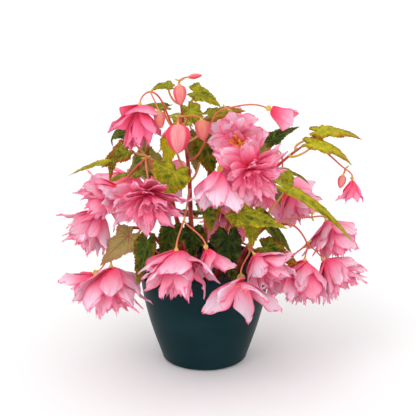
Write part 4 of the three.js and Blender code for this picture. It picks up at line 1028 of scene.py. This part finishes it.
def build_spray(name, order):
    """A spray: one piece for its petals and buds, one for its stalks, and one for stamens that show."""
    shoot = SPRAYS[name]
    draw = np.random.default_rng(SEEDS["spray"] + order)
    petals, stalks, hearts = Skin(), Skin(), Skin()
    for flower in shoot.heads:
        grow = grow_bud if flower.kind == "bud" else grow_petals
        grow(petals, flower, draw)
        grow_vessel(stalks, flower)
        if flower.kind in HEARTS:
            grow_heart(hearts, flower, draw)
    ends = [stalk_end(flower) for flower in shoot.heads]
    arrivals = [unit(flower.face) for flower in shoot.heads]
    grow_stalks(stalks, shoot, ends, arrivals, STALK["flower_radius"], draw, 0.2)
    fork = np.asarray(shoot.fork, float)
    grow_bracts(stalks, fork, unit(fork - budding(shoot, fork)[0]), draw)
    petals.piece(f"{name}_petals", "petal", "petal", name)
    stalks.piece(f"{name}_stalks", "stalk", "stem", name)
    if hearts.count:
        hearts.piece(f"{name}_hearts", "gold", None, name)


# ---------------------------------------------------------------- pot and soil


def pot_radius(height):
    """The wall's outer radius at a height: steep at the rim and drawn in towards the foot."""
    share = np.clip(np.asarray(height, float) / POT["height"], 0, 1)
    return mix(POT["foot_radius"], POT["rim_radius"], np.sin(math.pi / 2 * share))


def build_pot():
    """The pot is turned from one profile: up its outside, over the rim and down its inside."""
    names = ("height", "wall", "floor", "foot_corner", "flat_radius")
    height, wall, floor, corner, flat = (POT[name] for name in names)
    turn = np.linspace(0, math.pi / 2, 7)
    foot = np.stack([mix(flat, pot_radius(corner), np.sin(turn)), corner * (1 - np.cos(turn))], axis=1)
    up = np.linspace(corner, height - wall / 2, 34)[1:]
    outside = np.stack([pot_radius(up), up], axis=1)
    lip = np.linspace(0, math.pi, 9)[1:-1]
    middle = np.array([pot_radius(height) - wall / 2, height - wall / 2])
    rim = middle + wall / 2 * np.stack([np.cos(lip), np.sin(lip)], axis=1)
    down = np.linspace(height - wall / 2, floor + corner, 16)
    inside = np.stack([pot_radius(down) - wall, down], axis=1)
    within = [(flat - wall, floor), (0, floor)]
    skin = Skin()
    turned(skin, np.vstack([(0, 0), (flat - 1, 0), foot, outside, rim, inside, within]), POT["segments"])
    skin.piece("pot_turned", "pot", "pot", "pot", sharp=60)


def soil_height(x, y):
    share = np.hypot(x, y) / (pot_radius(SOIL["top"]) - POT["wall"])
    lumps = SOIL["lumps"] * np.sin(x * SOIL["waves"][0]) * np.cos(y * SOIL["waves"][1])
    return SOIL["top"] + SOIL["dome"] * (1 - share * share) + lumps


def build_soil():
    """A rough mound of soil down to the pot's floor, with crumbs lying on it."""
    draw = np.random.default_rng(SEEDS["soil"])
    count = SOIL["segments"]
    inset = POT["wall"] + SOIL["gap"]
    reach = pot_radius(SOIL["top"]) - inset
    turns = round_turns(count)
    radii = np.linspace(1, 0.02, SOIL["rings"]) * reach
    x, y = np.outer(radii, np.cos(turns)), np.outer(radii, np.sin(turns))
    rough = sum(
        size * np.sin(x * a + p) * np.sin(y * b + q)
        for size, (a, b, p, q) in zip((0.5, 0.5, 0.35, 0.3), draw.uniform(0.5, 1.6, (4, 4)))
    )
    z = soil_height(x, y) + rough + draw.normal(0, SOIL["grit"], x.shape)
    z[0] = SOIL["top"]
    low = np.array([POT["floor"] + 0.3, POT["floor"] + 8, 40, 70])
    wide = np.array([POT["flat_radius"] - 4, *(pot_radius(low[1:]) - inset)])
    x, y = (np.vstack([np.outer(wide, way(turns)), top]) for way, top in ((np.cos, x), (np.sin, y)))
    z = np.vstack([np.repeat(low[:, None], count, 1), z])
    body = np.stack([x, y, z], axis=-1)
    ends = np.array([(0, 0, low[0]), (0, 0, z[-1].mean())])
    skin = Skin()
    faces = ring_faces(len(body), count, flip=True)
    skin.add(np.vstack([body.reshape(-1, 3), ends]), faces, chance=0.5)
    for _ in range(SOIL["crumbs"]):
        spread, turn = math.sqrt(draw.random()) * (reach - 3), draw.random() * CIRCLE
        spot = np.array([spread * math.cos(turn), spread * math.sin(turn)])
        size = draw.uniform(*SOIL["crumb_size"])
        grow_crumb(skin, (*spot, soil_height(*spot) + size * 0.3), size, draw)
    skin.piece("soil_mound", "soil", "soil", "soil", sharp=40)


def grow_crumb(skin, at, size, draw):
    """A small uneven lump, turned about an axis that leans any way."""
    rows, sides = 5, 7
    u = np.linspace(0, math.pi, rows)
    profile = np.stack([size * np.sin(u), -size * 0.7 * np.cos(u)], axis=1)
    profile[[0, -1], 0] = 0
    uneven = draw.uniform(0.7, 1.25, sides)
    axis = unit(draw.normal(0, 1, 3))
    turned(skin, profile, sides, at, axis, lambda turns: uneven, chance=draw.random())


# ---------------------------------------------------------------- materials


class Value:
    """What a node gives at each point of a surface. A sum or a product of values is a node too."""

    def __init__(self, paint, socket):
        self.paint, self.socket = paint, socket

    def maths(self, operation, other):
        return self.paint.node("Math", {0: self, 1: other}, 0, operation=operation)

    def __add__(self, other):
        return self.maths("ADD", other)

    def __sub__(self, other):
        return self.maths("SUBTRACT", other)

    def __mul__(self, other):
        return self.maths("MULTIPLY", other)


class Paint:
    """A material. Most calls make one node, whose sockets are linked or set to what is given."""

    def __init__(self, name):
        self.material = bpy.data.materials.new(name)
        self.material.use_nodes = True
        self.tree = self.material.node_tree
        self.shader = self.tree.nodes["Principled BSDF"]

    def put(self, socket, given):
        """Link a socket to a value, or set it to a named colour or a number."""
        if isinstance(given, Value):
            self.tree.links.new(given.socket, socket)
        else:
            socket.default_value = (*COLOURS[given], 1) if isinstance(given, str) else given

    def node(self, kind, sockets, output, **settings):
        made = self.tree.nodes.new(f"ShaderNode{kind}")
        for name, setting in settings.items():
            setattr(made, name, setting)
        for key, given in sockets.items():
            self.put(made.inputs[key], given)
        return Value(self, made.outputs[output])

    def given(self, name, output="Fac"):
        """A named value of the mesh."""
        return self.node("Attribute", {}, output, attribute_name=name)

    def place(self, name, scale):
        """Coordinates from a named value of the mesh, or else from the part's own frame, in millimetres."""
        if name:
            source = self.given(name, "Vector")
        else:
            source = self.node("TexCoord", {}, "Object")
            scale = [share / MM for share in scale]
        return self.node("Mapping", {"Vector": source, "Scale": scale}, "Vector")

    def noise(self, scale, detail=2, roughness=0.5, by=None):
        sockets = {"Vector": self.place(by, scale), "Scale": 1, "Detail": detail, "Roughness": roughness}
        return self.node("TexNoise", sockets, "Fac")

    def cells(self, scale, by):
        return self.node("TexVoronoi", {"Vector": self.place(by, scale), "Scale": 1}, "Distance")

    def fit(self, value, low, high, first=0, last=1):
        """A value's stretch from low to high, fitted smoothly to another."""
        sockets = {"Value": value, "From Min": low, "From Max": high, "To Min": first, "To Max": last}
        return self.node("MapRange", sockets, "Result", interpolation_type="SMOOTHSTEP")

    def ramp(self, value, *stops):
        """A colour by a value, between named colours at places from 0 to 1."""
        made = self.tree.nodes.new("ShaderNodeValToRGB")
        elements = made.color_ramp.elements
        while len(elements) < len(stops):
            elements.new(0.5)
        for element, (place, colour) in zip(elements, stops):
            element.position = place
            element.color = (*COLOURS[colour], 1)
        self.put(made.inputs["Fac"], value)
        return Value(self, made.outputs["Color"])

    def blend(self, share, first, last):
        """The first colour at a share of 0, and the last at 1. The node's colour sockets are 6 and 7."""
        return self.node("Mix", {0: share, 6: first, 7: last}, 2, data_type="RGBA")

    def relief(self, height, strength, depth):
        sockets = {"Strength": strength, "Distance": depth * MM, "Height": height}
        self.put(self.shader.inputs["Normal"], self.node("Bump", sockets, "Normal"))

    def finish(self, colour, roughness, soft=None, specular=0.5):
        """The material. Soft is how much light spreads under the surface, its reach in red, green and
        blue, and that reach's scale in millimetres."""
        sockets = {"Base Color": colour, "Roughness": roughness, "Specular IOR Level": specular}
        if soft:
            names = ("Subsurface Weight", "Subsurface Radius", "Subsurface Scale")
            sockets |= zip(names, (soft[0], soft[1], soft[2] * MM))
        for name, given in sockets.items():
            self.put(self.shader.inputs[name], given)
        return self.material


def petal_paint():
    """Crimson in the throat and pale towards the tip, with deeper veins and a deeper margin. Inner layers
    are painted deeper crimson as shade between the petals. Where a petal is closed to a bud, it is salmon."""
    p = Paint("petal")
    names = ("along", "across", "depth", "chance", "tone", "closed")
    along, across, depth, chance, tone, closed = (p.given(name) for name in names)
    streak = p.noise((0.62, 0.03, 1), 5, 0.72, by="spot")
    grain = p.noise((2.6, 2.6, 1), by="spot")
    cloud = p.noise((0.12, 0.07, 1), by="spot")
    # The depth term moves inner layers towards the crimson throat: painted shade between the petals.
    place = along + streak * 0.34 + cloud * 0.3 - tone * 0.4 - depth * 0.12 - 0.08
    stops = ((0, "throat"), (0.16, "crimson"), (0.4, "pink"), (0.68, "rose"), (0.95, "pale"))
    colour = p.ramp(place, *stops)
    # Deep pink by the flower's own tone and at random per petal, and on inner layers by depth as painted
    # shade tinted like light through the petals.
    deep_pink_and_shade = tone * 0.9 + depth * 0.5 + chance * 0.4 - 0.5
    colour = p.blend(p.fit(deep_pink_and_shade, -0.1, 1.1, 0, 0.8), colour, "deep_pink_and_shade")
    vein = p.fit(streak, 0.5, 0.66, 0, 0.8) * p.fit(along, 0.95, 0.3, 0.6, 1)
    colour = p.blend(vein, colour, "vein")
    line = p.fit(across, 0.76, 0.98) * p.fit(cloud, 0.35, 0.6, 0.6, 1)
    colour = p.blend(line, colour, "margin")

    salmon = p.ramp(along + streak * 1.1 - 0.55, (0, "bud_base"), (0.22, "bud"), (0.85, "bud_tip"))
    salmon = p.blend(tone * 0.8, salmon, "bud_pink")
    salmon = p.blend(p.fit(streak, 0.46, 0.62, 0, 0.6), salmon, "bud_edge")
    salmon = p.blend(p.fit(across, 0.1, 0.8) * (tone * 0.5 + 0.5), salmon, "bud_edge")
    colour = p.blend(closed, colour, salmon)
    p.relief(streak + grain * 0.3, 0.45, 0.5)
    return p.finish(colour, p.fit(grain, 0.3, 0.7, 0.42, 0.56), (0.6, (1, 0.5, 0.6), 0.55), 0.25)


def leaf_paint():
    """Green to yellow between the veins, paler along them, with a brown toothed margin and pale beneath."""
    p = Paint("leaf")
    names = ("tone", "blush", "vein", "closest", "out", "under")
    tone, blush, vein, closest, out, under = (p.given(name) for name in names)
    patch = p.noise((0.16, 0.16, 1), 3, 0.55, by="spot")
    net = p.cells((0.75, 0.75, 1), by="spot")
    grain = p.noise((1.7, 1.7, 1), 3, by="spot")
    shade = tone + patch * 0.95 + net * 0.3 - 0.585
    shade = shade - p.fit(closest, 0.4, 3.6, 0, 0.2) + p.fit(out, 0.8, 1, 0, 0.16)
    colour = p.ramp(shade, (0, "leaf_dark"), (0.32, "leaf_green"), (0.62, "leaf_olive"), (1, "leaf_yellow"))
    brown = blush * p.fit(out, 0.55, 1) * p.fit(patch, 0.35, 0.6, 0.3, 1)
    colour = p.blend(brown, colour, "leaf_brown")
    colour = p.blend(vein * (tone * 0.75 - 0.02), colour, "leaf_vein")
    beneath = p.blend(0.6, colour, "leaf_beneath")
    beneath = p.blend(vein * (blush * 0.6 + 0.15), beneath, "leaf_red")
    colour = p.blend(under, colour, beneath)
    p.relief(grain * 0.4 + net * 0.8 - vein, 0.75, 0.7)
    return p.finish(colour, p.fit(grain, 0.3, 0.7, 0.36, 0.5), (0.35, (0.6, 1, 0.2), 1.5), 0.1)


def stalk_paint():
    """Salmon stalks, which turn yellow-green where they are ripe and towards the flower."""
    p = Paint("stalk")
    ripe, along, chance = (p.given(name) for name in ("ripe", "along", "chance"))
    patch = p.noise((0.12, 0.12, 0.12), 3)
    grain = p.noise((1.5, 1.5, 0.4))
    shade = ripe + patch * 0.5 + chance * 0.16 + p.fit(along, 0.85, 1, 0, 0.2) - 0.33
    stops = ((0, "stalk_red"), (0.3, "stalk_salmon"), (0.62, "stalk_amber"), (1, "stalk_green"))
    p.relief(grain, 0.3, 0.3)
    return p.finish(p.ramp(shade, *stops), p.fit(grain, 0.3, 0.7, 0.34, 0.48), (0.15, (1, 0.4, 0.2), 1.5))


def stem_paint():
    """Deep red flesh with pale flecks, and browner where the stem's joints are."""
    p = Paint("stem")
    patch = p.noise((0.09, 0.09, 0.05), 4)
    grain = p.noise((1.2, 1.2, 0.25))
    shade = patch - p.given("joint") * 0.15
    colour = p.ramp(shade, (0.3, "stem_dark"), (0.48, "stem_red"), (0.72, "stem_light"))
    p.relief(grain, 0.35, 0.4)
    return p.finish(colour, p.fit(grain, 0.3, 0.7, 0.3, 0.46), (0.1, (1, 0.3, 0.2), 2))


def gold_paint():
    """Orange stamens with yellow ends."""
    p = Paint("gold")
    grain = p.noise((2.2, 2.2, 2.2))
    shade = p.given("along") + grain * 0.5 - 0.25
    colour = p.ramp(shade, (0, "gold_base"), (0.55, "gold"), (1, "gold_tip"))
    p.relief(grain, 0.5, 0.3)
    return p.finish(colour, p.fit(grain, 0.3, 0.7, 0.5, 0.65), (0.1, (1, 0.2, 0.1), 50))


def pot_paint():
    """Dark teal plastic with a satin face, faintly clouded and finely pitted."""
    p = Paint("pot")
    cloud = p.noise((0.02, 0.02, 0.035), 3)
    p.relief(p.noise((1.3, 1.3, 1.3), 3), 0.12, 0.3)
    colour = p.ramp(cloud, (0.3, "pot_dark"), (0.7, "pot_light"))
    return p.finish(colour, p.fit(cloud, 0.3, 0.7, 0.34, 0.42), specular=0.06)


def soil_paint():
    """Moist peat in patches, with each crumb a little lighter or darker."""
    p = Paint("soil")
    patch = p.noise((0.22, 0.22, 0.22), 4, 0.6)
    grain = p.noise((1.6, 1.6, 1.6), 4, 0.7)
    shade = p.given("chance") * 0.35 + patch
    colour = p.ramp(shade, (0.4, "soil_dark"), (0.65, "soil"), (0.95, "soil_light"))
    p.relief(grain, 0.8, 0.8)
    return p.finish(colour, p.fit(grain, 0.3, 0.7, 0.8, 0.95), specular=0.25)


def floor_paint():
    p = Paint("floor")
    cloud = p.noise((0.002, 0.002, 0.002))
    return p.finish(p.ramp(cloud, (0, "floor"), (1, "floor_light")), 0.8)


MATERIALS = {
    "petal": petal_paint(),
    "leaf": leaf_paint(),
    "stalk": stalk_paint(),
    "stem": stem_paint(),
    "gold": gold_paint(),
    "pot": pot_paint(),
    "soil": soil_paint(),
    "floor": floor_paint(),
}

# ---------------------------------------------------------------- floor, light and camera


def build_floor():
    mesh = bpy.data.meshes.new("floor")
    ways = ((-1, -1), (1, -1), (1, 1), (-1, 1))
    mesh.from_pydata([(x * FLOOR_REACH, y * FLOOR_REACH, 0) for x, y in ways], [], [(0, 1, 2, 3)])
    mesh.materials.append(MATERIALS["floor"])
    floor = bpy.data.objects.new("floor", mesh)
    bpy.context.scene.collection.objects.link(floor)


def stand(name, data, place, way):
    """A lamp or a camera at a place in metres, which looks one way."""
    made = bpy.data.objects.new(name, data)
    made.location = place
    made.rotation_mode = "QUATERNION"
    made.rotation_quaternion = way.to_track_quat("-Z", "Y")
    bpy.context.scene.collection.objects.link(made)
    return made


def build_studio():
    """A white sky and soft lamps, which shine everywhere alike from the side that their place is on."""
    world = bpy.data.worlds.new("studio")
    world.use_nodes = True
    background = world.node_tree.nodes["Background"]
    background.inputs["Color"].default_value = (1, 1, 1, 1)
    background.inputs["Strength"].default_value = SKY
    bpy.context.scene.world = world
    for name, (place, spread, strength) in LIGHTS.items():
        light = bpy.data.lights.new(name, "SUN")
        light.angle = math.radians(spread)
        light.energy = strength
        stand(name, light, place, Vector(AIM) * MM - Vector(place))
    bpy.context.scene.view_settings.view_transform = "Standard"


def build_camera():
    camera = bpy.data.cameras.new("camera")
    camera.lens = CAMERA["lens"]
    camera.sensor_width = CAMERA["sensor"]
    rise = math.radians(CAMERA["elevation"])
    back = Vector((0, -math.cos(rise), math.sin(rise)))
    place = (Vector(AIM) + back * CAMERA["distance"]) * MM
    bpy.context.scene.camera = stand("camera", camera, place, -back)


build_camera()
build_studio()
build_floor()
build_pot()
build_soil()
for stem_name in STEMS:
    build_stem(stem_name)
for order, leaf_name in enumerate(LEAVES):
    build_leaf(leaf_name, order)
for order, spray_name in enumerate(SPRAYS):
    build_spray(spray_name, order)
